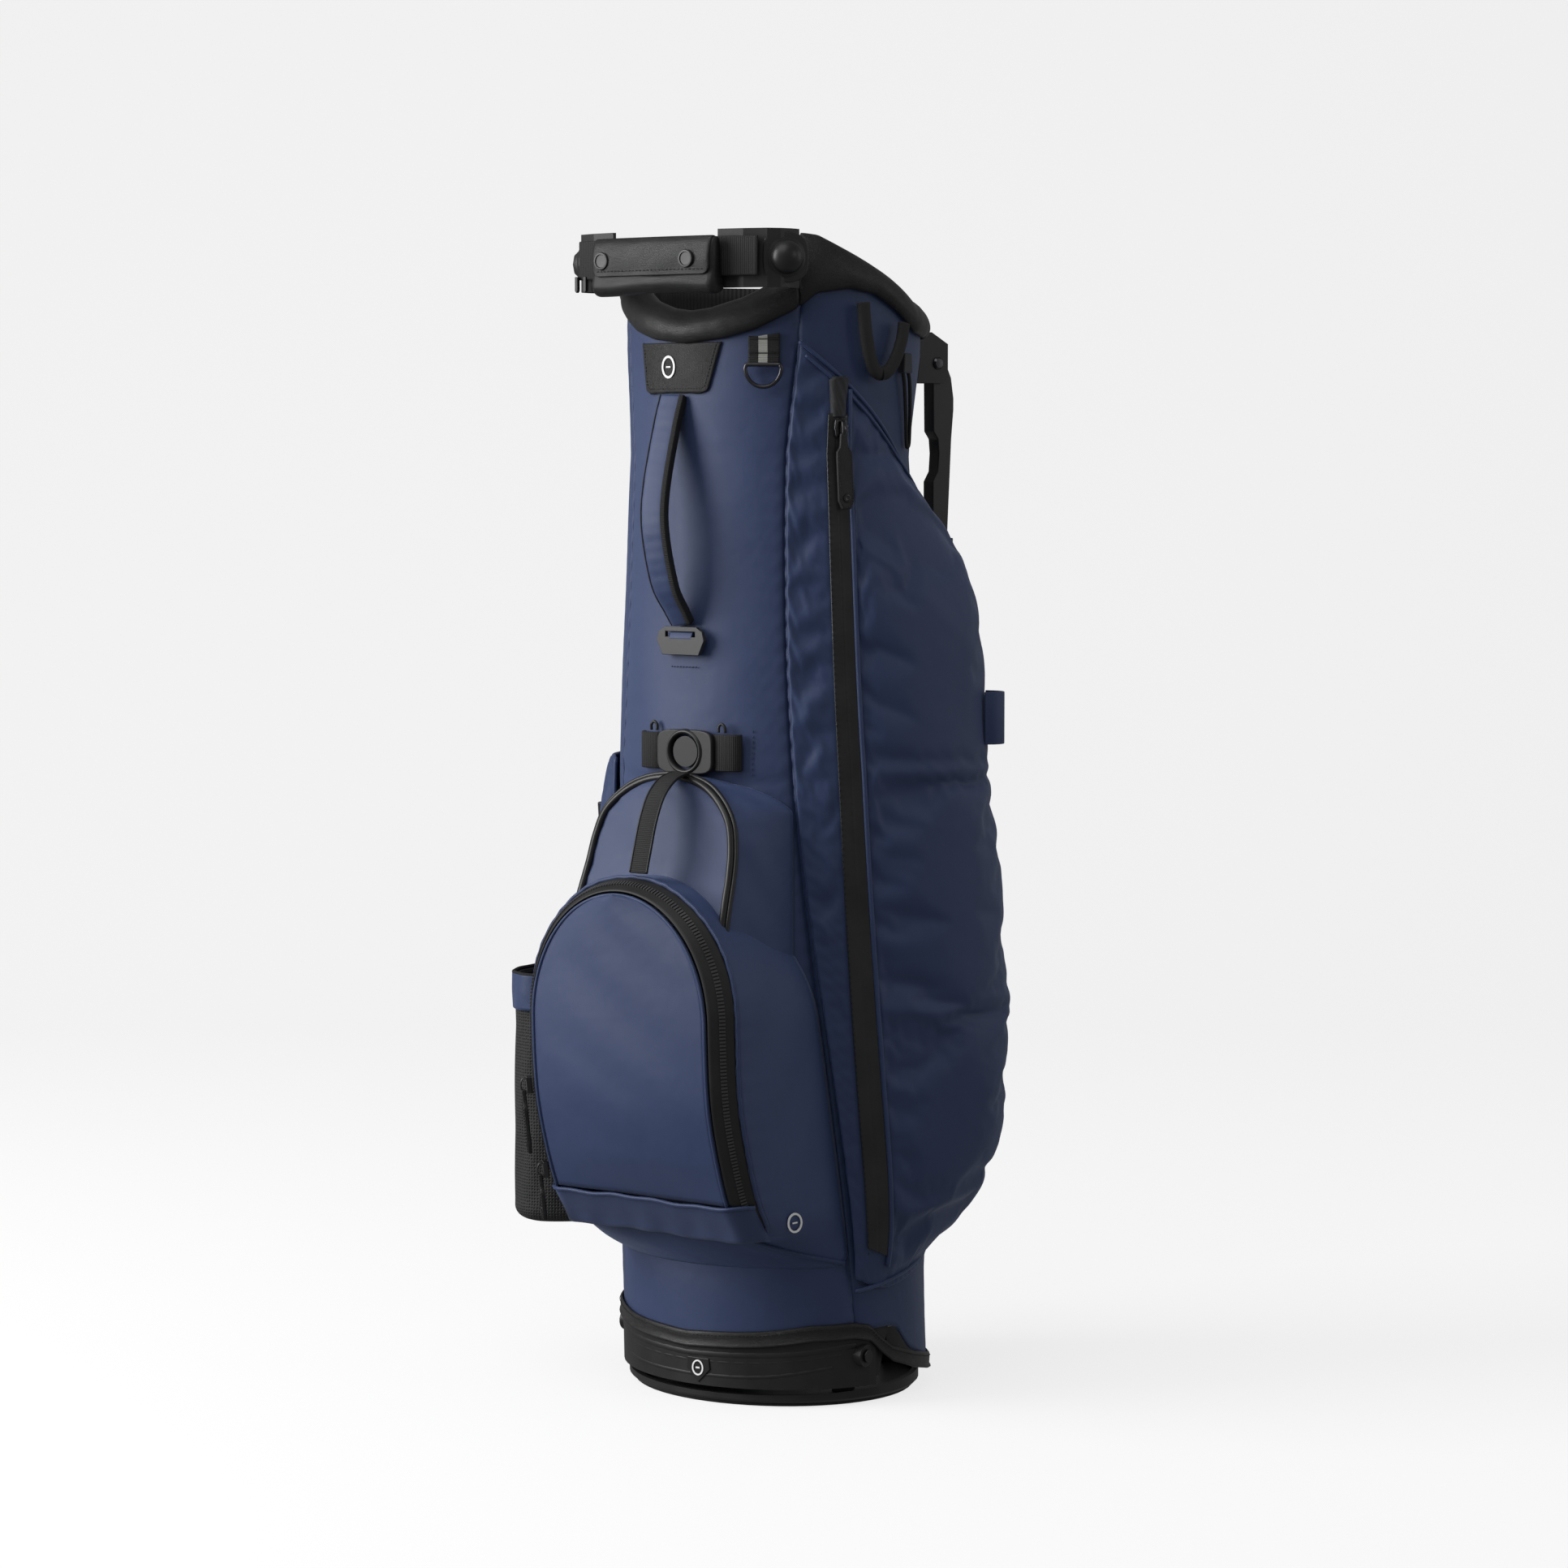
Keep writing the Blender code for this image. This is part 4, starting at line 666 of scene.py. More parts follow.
def row_of(name, shape, lines, facings, paint, pitch, length, width, height, sway=0.0):
    """Stitches or teeth along lines of points, all in one mesh."""
    mesh = bpy.data.meshes.new(name)
    points, edges, ways = [], [], []
    for line, facing in zip(lines, facings):
        first = len(points)
        points += [tuple(p) for p in line]
        edges += [(first + k, first + k + 1) for k in range(len(line) - 1)]
        ways += [tuple(f) for f in facing] if isinstance(facing, list) else [tuple(facing)] * len(line)
    mesh.from_pydata(points, edges, [])
    mesh.attributes.new("facing", "FLOAT_VECTOR", "POINT").data.foreach_set("vector", np.ravel(ways))
    made = linked(name, mesh)
    maker = made.modifiers.new(shape, "NODES")
    maker.node_group = TREES[shape]
    values = {
        "Pitch": pitch, "Length": length, "Width": width, "Height": height, "Sway": sway,
        "Material": paint.material,
    }
    for item in TREES[shape].interface.items_tree:
        if item.in_out == "INPUT" and item.name in values:
            maker[item.identifier] = values[item.name]
    bpy.context.view_layer.update()
    solid = bpy.data.meshes.new_from_object(made.evaluated_get(bpy.context.evaluated_depsgraph_get()))
    made.modifiers.remove(maker)
    made.data = solid
    if shape == "stitch":
        solid.shade_smooth()
    return made


def plain_paint(name, colour, gloss, grain=900.0, depth=0.00003, metal=0.0, coat=0.0):
    """Moulded, coated or spun matter: a fine grain, and smears that change its gloss."""
    paint = Paint(name, Base_Color=colour, Roughness=gloss, Metallic=metal, Coat_Weight=coat)
    paint.shader.inputs["Specular IOR Level"].default_value = 0.36
    place = paint.node("ShaderNodeTexCoord", out=3)
    fine = paint.noise(place, grain, 2.0)
    smear = paint.noise(place, 30.0, 4.0, 0.6)
    lighter = tuple(min(1.0, c * 1.6 + 0.004) for c in colour)
    paint.feed("Base Color", paint.blend(paint.ramp(smear, 0.0, 1.0, 0.3, 0.8), colour, lighter))
    paint.feed("Roughness", paint.ramp(smear, gloss - 0.05, gloss + 0.09) + (fine - 0.5) * 0.06)
    paint.feed("Normal", paint.bump(fine, depth))
    return paint


navy_piping = cloth_paint("navy_piping", (0.026, 0.046, 0.125), (0.018, 0.034, 0.095), gloss=0.44)
zip_tape = plain_paint("zip_tape", (0.010, 0.010, 0.0105), 0.50, 1400.0, 0.00008)
tooth_paint = plain_paint("tooth_black", (0.040, 0.040, 0.042), 0.24, 600.0)
black_thread = plain_paint("black_thread", (0.006, 0.006, 0.0065), 0.6, 2500.0, 0.00004)
navy_thread = plain_paint("navy_thread", (0.010, 0.016, 0.045), 0.6, 2500.0, 0.00004)

RINGS = 260
rim_loop = evened(arch_loop(BALL_HALF + 0.003, BALL_LOW - 0.002, BALL_HIGH + 0.003, BALL_ARCH, 0.004), RINGS)
edge_loop = evened(
    arch_loop(BALL_HALF + BALL_BAND, BALL_LOW - 0.027, BALL_HIGH + 0.011, BALL_ARCH + 0.005, 0.016), RINGS
)
seat_loop = evened(arch_loop(BALL_HALF - 0.002, 0.1075, BALL_HIGH + 0.004, BALL_ARCH + 0.008, 0.010), RINGS)
# A lighter copy of the navy cloth: painted light for the pocket sides, which face the key light.
painted_light_gusset_cloth = cloth_paint("painted_light_gusset_cloth", (0.036, 0.060, 0.150), (0.026, 0.045, 0.118))
rows = []
for share in np.linspace(0, 1, 22):
    row = []
    for i, ((ex, ez), (sx, sz)) in enumerate(zip(edge_loop, seat_loop)):
        start = Vector((ex, ball_face(ez) + BALL_BEVEL, ez))
        reach = sx / (BALL_HALF - 0.002)
        end = wall(reach * (seam_at(sz) - 0.4 if sx > 0 else 42.0), sz, 0.0004)
        point = start.lerp(end, share)
        swell = math.sin(math.pi * share) * (0.0030 + 0.0011 * ripple(i * 0.09 + share * 3, 2))
        tuck = 0.0006 * math.exp(-share * 9) * ripple(i * 1.3, 4)
        out = Vector((ex, 0, (ez - 0.28) * 0.6)).normalized()
        row.append(point + out * (swell + tuck))
    rows.append(row)
pocket_side = rows
ball_gusset = sheet_mesh("ball_gusset", rows, painted_light_gusset_cloth, thick=0.0018, round_trip=True)
place_on(ball_gusset, "bag", "navy_side_cloth", "ball_pocket")

band_in = evened(arch_line(BALL_HALF + 0.0016, BALL_LOW - 0.001, BALL_HIGH + 0.0016, BALL_ARCH), 220)
band_out = evened(
    arch_line(BALL_HALF + BALL_BAND - 0.0008, BALL_LOW - 0.022, BALL_HIGH + 0.010, BALL_ARCH + 0.005), 220
)
rows, teeth, facings = [], [], []
for share in np.linspace(0, 1, 9):
    row = []
    for (ix, iz), (ox, oz) in zip(band_in, band_out):
        point = Vector((ix, ball_face(iz) + 0.0012, iz)).lerp(
            Vector((ox, ball_face(oz) + BALL_BEVEL, oz)), share
        )
        out = Vector((ix, -0.10, (iz - 0.27))).normalized()
        row.append(point + out * 0.0004 * math.sin(math.pi * share))
    rows.append(row)
ball_band = sheet_mesh("ball_zip_band", rows, zip_tape, thick=0.0012, inward=True)
place_on(ball_band, "bag", "zipper")
for i, ((ix, iz), (ox, oz)) in enumerate(zip(band_in, band_out)):
    out = Vector((rows[3][i] - rows[5][i]).cross(rows[4][min(i + 1, 219)] - rows[4][max(i - 1, 0)]))
    out = out.normalized() * (1 if out.y < 0 else -1)
    teeth.append(rows[4][i] + out * 0.0010)
    facings.append(out)
place_on(
    row_of(
        "ball_zip_teeth", "tooth", [teeth], [facings], tooth_paint, 0.0026, 0.0015, 0.0046, 0.0024, 0.0026
    ),
    "bag", "zipper",
)
lower_right = max(range(RINGS), key=lambda i: seat_loop[i][0] - seat_loop[i][1])
left_tail, right_tail = ([row[column] for row in pocket_side[1:]] for column in (0, lower_right))
outline = left_tail[::-1] + pocket_side[0][:lower_right + 1:2] + right_tail
outline = curve_through([p + (p - Vector((0, -0.06, 0.28))).normalized() * 0.0008 for p in outline], 360)
place_on(sweep("ball_piping_outer", outline, circle(0.0016), navy_piping), "bag", "navy_cloth")

rows = []
low = BALL_LOW + 0.0008
heights = list(np.linspace(low, BALL_HIGH - BALL_ARCH, 34))
heights += [BALL_HIGH - BALL_ARCH + BALL_ARCH * math.sin(a) for a in np.linspace(0, math.pi / 2, 30)[1:]]
for z in heights:
    above = max(0.0, (z - (BALL_HIGH - BALL_ARCH)) / BALL_ARCH)
    half = BALL_HALF * math.sqrt(max(0.0, 1 - above * above))
    crown = 0.0052 * min(1.0, (z - low) / 0.03)
    row = []
    for s in np.linspace(-1, 1, 41):
        dent = 0.0009 * ripple(z * 45 + s * 2.2, 6) * (1 - s * s)
        row.append(Vector((half * s, ball_face(z) - crown * (1 - s * s) + dent, z)))
    rows.append(row)
door = sheet_mesh("ball_door_cloth", rows, navy_cloth, thick=0.0026)
place_on(door, "door", "navy_cloth", "ball_door")
line = [
    Vector((x, ball_face(z) - 0.0002, z))
    for x, z in evened(arch_line(BALL_HALF - 0.0005, low, BALL_HIGH - 0.0005, BALL_ARCH, 0.0), 200)
]
place_on(sweep("ball_piping_inner", line, circle(0.0013), navy_piping), "door", "navy_cloth")

rows = []
for share in np.linspace(0, 1, 12):
    row = []
    for x in np.linspace(-BALL_HALF - BALL_BAND + 0.001, BALL_HALF + BALL_BAND - 0.001, 70):
        z = BALL_LOW - 0.0015 + 0.0012 * ripple(x * 60, 1) - share * 0.028
        lean = max(0.0, (abs(x) - BALL_HALF + 0.004) / (BALL_BAND + 0.004))
        y = ball_face(z) - 0.0026 + lean**2 * BALL_BEVEL + 0.0022 * share**2 + 0.0008 * ripple(
            x * 85 + share, 5
        ) * share
        row.append(Vector((x, y, z)))
    rows.append(row)
cuff = sheet_mesh("ball_cuff", rows, navy_cloth, thick=0.0020, inward=True)
place_on(cuff, "bag", "navy_cloth")
place_on(sweep("ball_cuff_piping", rows[0], circle(0.0014), navy_piping), "bag", "navy_cloth")

# ---- Pocket over the ball pocket -------------------------------------------------------------------
# A soft wedge of the same cloth under the cross seam. Fat glossy piping outlines its face, and a loop of
# ribbed tape hangs over it, to pull the pockets up by.
UPPER = (  # height, half width of the face, Y of the face
    (0.300, 0.0725, -0.170), (0.340, 0.0712, -0.165), (0.375, 0.0692, -0.156), (0.414, 0.0660, -0.142),
    (0.432, 0.0635, -0.138), (0.447, 0.0585, -0.135), (0.460, 0.0470, -0.132), (0.469, 0.0340, -0.129),
    (0.4745, 0.0180, -0.127), (0.4760, 0.0, -0.1265),
)
half_line = evened([(half, face, z) for z, half, face in UPPER], 90)
whole = [(-x, y, z) for x, y, z in half_line] + [(x, y, z) for x, y, z in half_line[::-1]][1:]
gloss_piping = plain_paint("gloss_piping", (0.0085, 0.0085, 0.0092), 0.36, 500.0, 0.00002)
rows = []
for share in np.linspace(0, 1, 44):
    x_of, y_of, z_of = half_line[int(share * 89)]
    row = []
    for s in np.linspace(-1, 1, 49):
        crown = 0.0045 * (1 - abs(s) ** 2.5) * min(1.0, (1 - share) / 0.12)
        fold = 0.0009 * ripple(
            z_of * 60 + s * 3, 8
        ) * (1 - s * s) + 0.0008 * ripple(z_of * 400, 1) * abs(s) ** 9
        row.append(Vector((x_of * s, y_of - crown + fold, z_of)))
    rows.append(row)
place_on(sheet_mesh("upper_face", rows, navy_cloth, thick=0.0018), "bag", "navy_cloth", "upper_pocket")
rows = []
for i, (x, y, z) in enumerate(whole):
    side = 1 if i > 89 else -1
    share_up = i / 89 if i <= 89 else (178 - i) / 89
    seam_z = CROSS_SEAM + 0.004
    foot = spine(side * max(abs(x) + 0.010, 0.0), min(z, seam_z + 0.004), 0.0006)
    wide = wall(side * 42.4, min(z - 0.002, seam_z - 0.008), 0.0006)
    end = foot.lerp(wide, min(1.0, max(0.0, (seam_z - z) / 0.020)))
    row = []
    for share in np.linspace(0, 1, 16):
        point = Vector((x, y, z)).lerp(end, share)
        away = Vector((side * 0.8, -0.6, 0))
        swell = 0.004 * math.sin(math.pi * share) * min(1.0, (seam_z - z + 0.004) / 0.05)
        row.append(
            point + away * (swell + 0.0010 * math.sin(math.pi * share) * ripple(z * 55 + share * 4, side))
        )
    rows.append(row)
# The upper pocket's sides take the lighter copy of the navy cloth, whose colour holds painted light.
place_on(sheet_mesh("upper_gusset", rows, painted_light_gusset_cloth, thick=0.0016), "bag", "navy_side_cloth")
line = curve_through([(x * 1.005, y - 0.0006, z + 0.0005) for x, y, z in whole[6:-6:8]], 160)
piping = sweep("upper_piping", line, circle(0.0027, 12), gloss_piping)
place_on(piping, "bag", "black_leather")
line = [
    p + Vector(
        (
            0.0034 * max(-1.0, min(1.0, p.x / 0.05)), 0.0022,
            0.0026 * max(0.0, min(1.0, (0.066 - abs(p.x)) / 0.03))
        )
    )
    for p in line
]
place_on(sweep("upper_piping_flange", line, circle(0.0017, 8), gloss_piping), "bag", "black_leather")

# ---- Inside of the mouth ---------------------------------------------------------------------------
# The throat under the rim is ribbed black cloth. A padded hoop with two crossed rails divides the mouth in
# four, and sheets of lining cloth hang from the rails down to the floor of the well.
def liner_paint(name, scale=1500.0):
    """Plain black lining with a fine weave and dust in its folds."""
    paint = Paint(name, Base_Color=(0.008, 0.008, 0.0085), Roughness=0.8)
    place = paint.node("ShaderNodeTexCoord", out=3)
    weave, dust = paint.noise(place, scale, 1.0), paint.noise(place, 14.0, 4.0, 0.6)
    paint.feed(
        "Base Color",
        paint.blend(paint.ramp(dust, 0, 1, 0.35, 0.8), (0.006, 0.006, 0.0065), (0.014, 0.014, 0.0145))
    )
    paint.feed("Roughness", paint.ramp(dust, 0.72, 0.9))
    paint.feed("Normal", paint.bump(weave, 0.00008, paint.bump(dust, 0.0006)))
    return paint


def softened(name, nodes, paint, body, slot, width=0.0006, angle=28.0, segments=3):
    """A copy of CAD nodes, merged into one mesh, with its hard edges rounded."""
    shape = bmesh.new()
    for node in nodes:
        shape.from_mesh(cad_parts[node].data)
    bmesh.ops.remove_doubles(shape, verts=shape.verts, dist=1e-5)
    bmesh.ops.dissolve_limit(shape, angle_limit=math.radians(1.5), verts=shape.verts, edges=shape.edges)
    bmesh.ops.recalc_face_normals(shape, faces=shape.faces)
    mesh = bpy.data.meshes.new(name)
    shape.to_mesh(mesh)
    shape.free()
    made = linked(name, mesh, paint)
    mesh.shade_smooth()
    mesh.set_sharp_from_angle(angle=math.radians(angle))
    round_off = made.modifiers.new("rounding", "BEVEL")
    round_off.width, round_off.segments, round_off.limit_method = width, segments, "ANGLE"
    round_off.angle_limit, round_off.harden_normals = math.radians(angle), True
    return place_on(made, body, slot, *nodes)


liner = liner_paint("liner_cloth")
THROAT_RISE = (
    (0, 0), (185, 0), (205, 0.047), (268, 0.048), (284, 0.040), (300, 0)
)  # its fold at the rear left
rows = []
for share in np.linspace(0, 1, 7):
    row = []
    for angle in np.arange(0, 360, 0.3):
        low, high = collar_low_z - 0.006, collar_low_z + between(RIM_HIGH, half_turn(angle)) - 0.008
        high = max(high, collar_low_z + between(THROAT_RISE, angle))
        rib = 0.0011 * abs(math.sin(math.radians(angle) * 84))
        point = wall(angle, collar_low_z, -RIM_DEEP - 0.0006 - rib)
        row.append(Vector((point.x, point.y, low + (high - low) * share)))
    rows.append(row)
place_on(sheet_mesh("throat_cloth", rows, liner, 0.0006, True, True), "bag", "liner_cloth", "throat")
rows = []
for share in np.linspace(0, 1, 90):
    row = []
    for angle in np.arange(0, 360, 4):
        high = collar_low_z + between(RIM_LOW, half_turn(angle)) + 0.005
        z = 0.101 + (high - 0.101) * share
        row.append(wall(angle, z, -0.0037 - 0.0004 * ripple(z * 30 + angle * 0.06, 2)))
    rows.append(row)
place_on(sheet_mesh("well_lining", rows, liner, 0.0006, True, True), "bag", "liner_cloth", "lining")
for name, along_y in (("divider_along", True), ("divider_across", False)):
    rows = []
    for z in np.linspace(0.0842, collar_low_z - 0.0185, 60):
        half_x, half_y, centre = between(TRUNK, z)
        row = []
        for s in np.linspace(-1, 1, 48):
            sway = 0.0010 * ripple(z * 22 + s * 3, 4) * min(1.0, abs(s) * 3) * (1 - s**4)
            if along_y:
                row.append(Vector((sway, centre + (half_y - 0.0105) * s, z)))
            else:
                row.append(Vector(((half_x - 0.0105) * s, centre + sway, z)))
        rows.append(row)
    divider = sheet_mesh(name, rows, liner, 0.0014)
    place_on(divider, "bag", "liner_cloth", "dividers")
softened("divider_hoop", ["divider_frame"], liner, "bag", "liner_cloth", 0.0030, 28, 4)

# ---- Lift handle -----------------------------------------------------------------------------------
# A stitched leather grip is snapped round a ribbed webbing, which runs between two moulded brackets. Each
# bracket turns on a ball at the front corner of the mouth.
def webbing_paint(name, colour, rib=0.0016, lighter=None, stripe=None):
    """Woven webbing: ribs across its length and finer cords within them, the rib tops painted lighter as
    painted highlight and the grooves darker as painted shade, mottled by lint.
    """
    paint = Paint(name, Base_Color=colour, Roughness=0.62)
    paint.shader.inputs["Specular IOR Level"].default_value = 0.30
    place = paint.node("ShaderNodeTexCoord", out=2)
    split = paint.tree.nodes.new("ShaderNodeSeparateXYZ")
    paint.tree.links.new(place.socket, split.inputs[0])
    across, along = (Value(paint, split.outputs[n]) for n in (0, 1))
    wave = along * (math.pi / rib)
    wave = wave.math("ABSOLUTE", wave.math("SINE", wave))
    cord = across * (2 * math.pi / 0.0011)
    cord = cord.math("SINE", cord) * 0.5 + 0.5
    height = wave * 0.65 + cord * wave * 0.35
    lint = paint.noise(place, 900.0, 3.0, 0.7)
    # The rib tops are painted up to 2.6 times lighter than the grooves: painted highlight on the tops and
    # painted shade in the grooves, mottled by lint noise.
    rib_top_highlight = lighter or tuple(c * 2.6 + 0.004 for c in colour)
    tone = paint.blend(paint.ramp(height * (lint + 0.5), 0.0, 1.0, 0.35, 1.1), colour, rib_top_highlight)
    if stripe:
        start, end, shade = stripe
        inside = across.math("GREATER_THAN", across, start) * across.math("LESS_THAN", across, end)
        tone = paint.blend(inside, tone, shade)
    paint.feed("Base Color", tone)
    paint.feed("Roughness", paint.ramp(lint, 0.55, 0.75))
    paint.feed("Normal", paint.bump(height, 0.00035))
    return paint


def plate(name, outline, at, across, up, thick, paint, bevel=0.0005, hole=None):
    """A flat piece: an outline in its own plane, thick towards across x up, with rounded edges."""
    away = across.cross(up).normalized()
    loops = [[at + across * x + up * y + away * d for x, y in outline] for d in (thick, 0.0)]
    if hole:
        loops += [[at + across * x + up * y + away * d for x, y in hole] for d in (0.0, thick)]
        loops.append(loops[0])
    made = sealed(sheet_mesh(name, loops, paint, round_trip=True), weld=True)
    made.data.shade_smooth()
    made.data.set_sharp_from_angle(angle=math.radians(35))
    if bevel:
        round_off = made.modifiers.new("rounding", "BEVEL")
        round_off.width, round_off.segments, round_off.limit_method = bevel, 3, "ANGLE"
        round_off.angle_limit, round_off.harden_normals = math.radians(35), True
    return made


def spun(name, profile, at, along, paint, sides=32):
    """A turned piece: (radius, distance along the axis) pairs."""
    along = along.normalized()
    one = along.orthogonal().normalized()
    other = along.cross(one)
    rows = [
        [
            at + along * d + (one * math.cos(t) + other * math.sin(t)) * max(r, 0.00005)
            for t in np.linspace(0, 2 * math.pi, sides, endpoint=False)
        ]
        for r, d in profile
    ]
    made = sealed(sheet_mesh(name, rows, paint, round_trip=True))
    made.data.shade_smooth()
    made.data.set_sharp_from_angle(angle=math.radians(40))
    return made


handle_z = collar_low_z + 0.061
black_webbing = webbing_paint("black_webbing", (0.0085, 0.0085, 0.0090))
moulded = plain_paint("moulded_plastic", (0.0105, 0.0105, 0.0110), 0.46, 1600.0, 0.00005)
smooth_plastic = plain_paint("smooth_plastic", (0.0090, 0.0090, 0.0095), 0.36, 900.0, 0.00002)
grip_leather = leather_paint("grip_leather", (0.0055, 0.0055, 0.0058), 0.46, 0.00010, 0.00012)
gunmetal = plain_paint("gunmetal", (0.045, 0.045, 0.048), 0.26, 700.0, 0.00001, metal=1.0)

strap_line = curve_through(
    [(x, y, handle_z + 0.0015) for x, y in (
        (-0.0835, -0.1318), (-0.060, -0.1375), (-0.030, -0.1400), (0.0, -0.1408), (0.030, -0.1400),
        (0.060, -0.1375), (0.0835, -0.1318),
    )], 90,
)
webbing = sweep("handle_strap", strap_line, strip(0.029, 0.0024), black_webbing, side=(0, 0, 1))
place_on(webbing, "handle", "black_webbing", "handle_webbing")

GRIP_HALF = 0.0565
GRIP = (  # in front of the webbing's face, height from the hinge
    (-0.0004, 0.0150), (0.0032, 0.0168), (0.0078, 0.0145), (0.0100, 0.0040), (0.0098, -0.0050),
    (0.0092, -0.0115), (0.0112, -0.0160), (0.0110, -0.0208), (0.0070, -0.0252), (0.0005, -0.0258),
    (-0.0052, -0.0238), (-0.0062, -0.0185), (-0.0040, -0.0146), (-0.0008, -0.0120),
)


def grip_ring(x, grow=0.0, count=56):
    """A ring of the grip's surface: drawn in at its ends, and dented a little between them."""
    y = -0.1425 - 0.0030 * (1 - (x / GRIP_HALF) ** 2)
    end = max(0.0, abs(x) - GRIP_HALF + 0.004) / 0.004
    ring = []
    for k, (ahead, rise) in enumerate(rounded_section(GRIP, count)):
        pinch = 1 - 0.16 * end**2
        dent = 0.00025 * ripple(x * 60 + k * 0.1, 3)
        sag = 0.0010 * math.sin(x * 55 + 1) if rise < -0.013 else 0.0
        ring.append(
            Vector(
                (x, y - ahead * pinch - dent - grow + 0.0006, handle_z + (rise + sag) * (1 - 0.05 * end**2))
            )
        )
    return ring


rows = [grip_ring(x) for x in np.linspace(-GRIP_HALF, GRIP_HALF, 90)]
grip = sealed(sheet_mesh("grip_leather_sleeve", rows, grip_leather, round_trip=True))
place_on(grip, "handle", "black_leather", "handle_grip")


def grip_skin(x, k, out):
    """A point out from the grip's front; k counts the ring's 112 points down from its top."""
    ring = grip_ring(x, 0.0, 112)
    return ring[k] + Vector((0, -out, 0.25 * out if k < 14 else 0))


FLAP_HALF, FLAP_TOP, FLAP_LOW = 0.0548, 5, 41
rows = []
for k in range(FLAP_TOP, FLAP_LOW + 1):
    below = max(0.0, (k - FLAP_LOW + 9) / 9)
    half = FLAP_HALF - 0.0062 * (1 - math.sqrt(max(0.0, 1 - below * below)))
    rows.append([grip_skin(x, k, 0.0014) for x in np.linspace(-half, half, 80)])
sewn = [p + Vector((0, -0.0003, 0)) for p in rows[-6][4:-4]]
place_on(sheet_mesh("grip_flap", rows, grip_leather, 0.0013, inward=True), "handle", "black_leather")
place_on(
    row_of(
        "grip_flap_stitches", "stitch", [sewn], [Vector((0, -1, 0))], black_thread, 0.0034, 0.0026, 0.0008,
        0.0007
    ),
    "handle", "black_leather",
)
for word, x in (("left", -0.0445), ("right", 0.0354)):
    cap = spun(
        f"snap_{word}",
        [
            (0.0064, -0.0006), (0.0067, 0.0010), (0.0061, 0.0019), (0.0050, 0.0020), (0.0046, 0.0012),
            (0.0, 0.0011)
        ],
        grip_skin(x, 28, 0.0014), Vector((0, -1, 0)), smooth_plastic,
    )
    place_on(cap, "handle", "black_leather")
for side, word in ((1, "right"), (-1, "left")):
    softened(
        f"bracket_{word}", [f"handle_bracket_{word}"], moulded, "handle", "black_plastic", 0.0010, 30, 3
    )
    softened(f"mount_{word}", [f"handle_mount_{word}"], moulded, "bag", "black_plastic", 0.0014, 30, 3)
    away = Vector((side * math.sin(math.radians(58)), -math.cos(math.radians(58)), 0))
    across = Vector((-away.y, away.x, 0))
    face = Vector((side * 0.0915, -0.1105, handle_z + 0.0005)) + away * 0.0012
    outline = [
        (0.0178 * math.copysign(abs(math.cos(a)) ** (0.9 if math.cos(a) * side > 0 else 0.45), math.cos(a)),
         0.0186 * math.copysign(abs(math.sin(a)) ** 0.62, math.sin(a)))
        for a in np.linspace(0, 2 * math.pi, 56, endpoint=False)
    ]
    place_on(
        plate(
            f"ball_plate_{word}", outline, face, across, Vector((0, 0, 1)), 0.0034, smooth_plastic, 0.0009
        ),
        "handle", "black_plastic"
    )
    dome = spun(
        f"ball_dome_{word}",
        [(0.0146, 0.0), (0.0148, 0.0008), (0.0132, 0.0014)] + [
            (0.0126 * math.cos(t), 0.0014 + (0.0105 if side > 0 else 0.0040) * math.sin(t))
            for t in np.linspace(0.02, math.pi / 2, 14)
        ],
        face + away * 0.0034, away, smooth_plastic, 48,
    )
    place_on(dome, "handle", "black_plastic")
    if side < 0:
        for n in range(2):
            at = Vector((-0.0840 + 0.0080 * n, -0.1335, handle_z - 0.0135))
            prong = plate(
                f"prong_{n}",
                [(-0.0014, 0.003), (0.0014, 0.003), (0.0014, -0.0075), (0.0, -0.009), (-0.0014, -0.0075)],
                at, Vector((1, 0, 0)), Vector((0, 0, 1)), 0.003, moulded, 0.0004,
            )
            place_on(prong, "handle", "black_plastic")

# ---- Patch under the front lip ---------------------------------------------------------------------
# A trapezoid of finely ribbed synthetic leather, stitched down inside its edge, with a small pale mark.
def patch_sides(z, inset=0.0):
    share = (z - collar_low_z + 0.0365) / 0.0353
    return -0.046 - 0.005 * share + inset, 0.018 + 0.011 * share - inset


rows = []
for share in np.linspace(0, 1, 24):
    z = collar_low_z - 0.0365 + 0.0375 * share
    low, high = patch_sides(z)
    corner = 0.0045 - math.sqrt(max(0.0, 0.0045**2 - max(0.0, 0.0045 - 0.0375 * share) ** 2))
    row = [
        spine(
            x, z,
            0.0021 - 0.0008 * max(
                0.0, 1 - (s * (1 - s)) / 0.012
            ) + 0.0003 * abs(math.sin(x * math.pi / 0.0016))
        )
        for s, x in ((s, low + corner + (high - low - 2 * corner) * s) for s in np.linspace(0, 1, 150))
    ]
    rows.append(row)
patch_leather = leather_paint("patch_leather", (0.0045, 0.0045, 0.0048), 0.56, 0.00012)
place_on(sheet_mesh("lip_patch", rows, patch_leather, 0.0016), "bag", "black_leather", "spine_patch")
edge = []
for share in np.linspace(1, 0.13, 12):
    z = collar_low_z - 0.0365 + 0.0375 * share
    edge.append(spine(patch_sides(z, 0.0034)[1], z, 0.0025))
for x in np.linspace(0.0130, -0.0400, 20):
    edge.append(spine(x, collar_low_z - 0.0332, 0.0025))
for share in np.linspace(0.13, 1, 12):
    z = collar_low_z - 0.0365 + 0.0375 * share
    edge.append(spine(patch_sides(z, 0.0034)[0], z, 0.0025))
place_on(
    row_of(
        "patch_stitches", "stitch", [edge], [Vector((0, -1, 0))], black_thread, 0.0026, 0.0019, 0.0006,
        0.0005
    ),
    "bag", "black_leather",
)
pale_print = plain_paint("pale_print", (0.85, 0.85, 0.85), 0.45, 900.0, 0.00001)


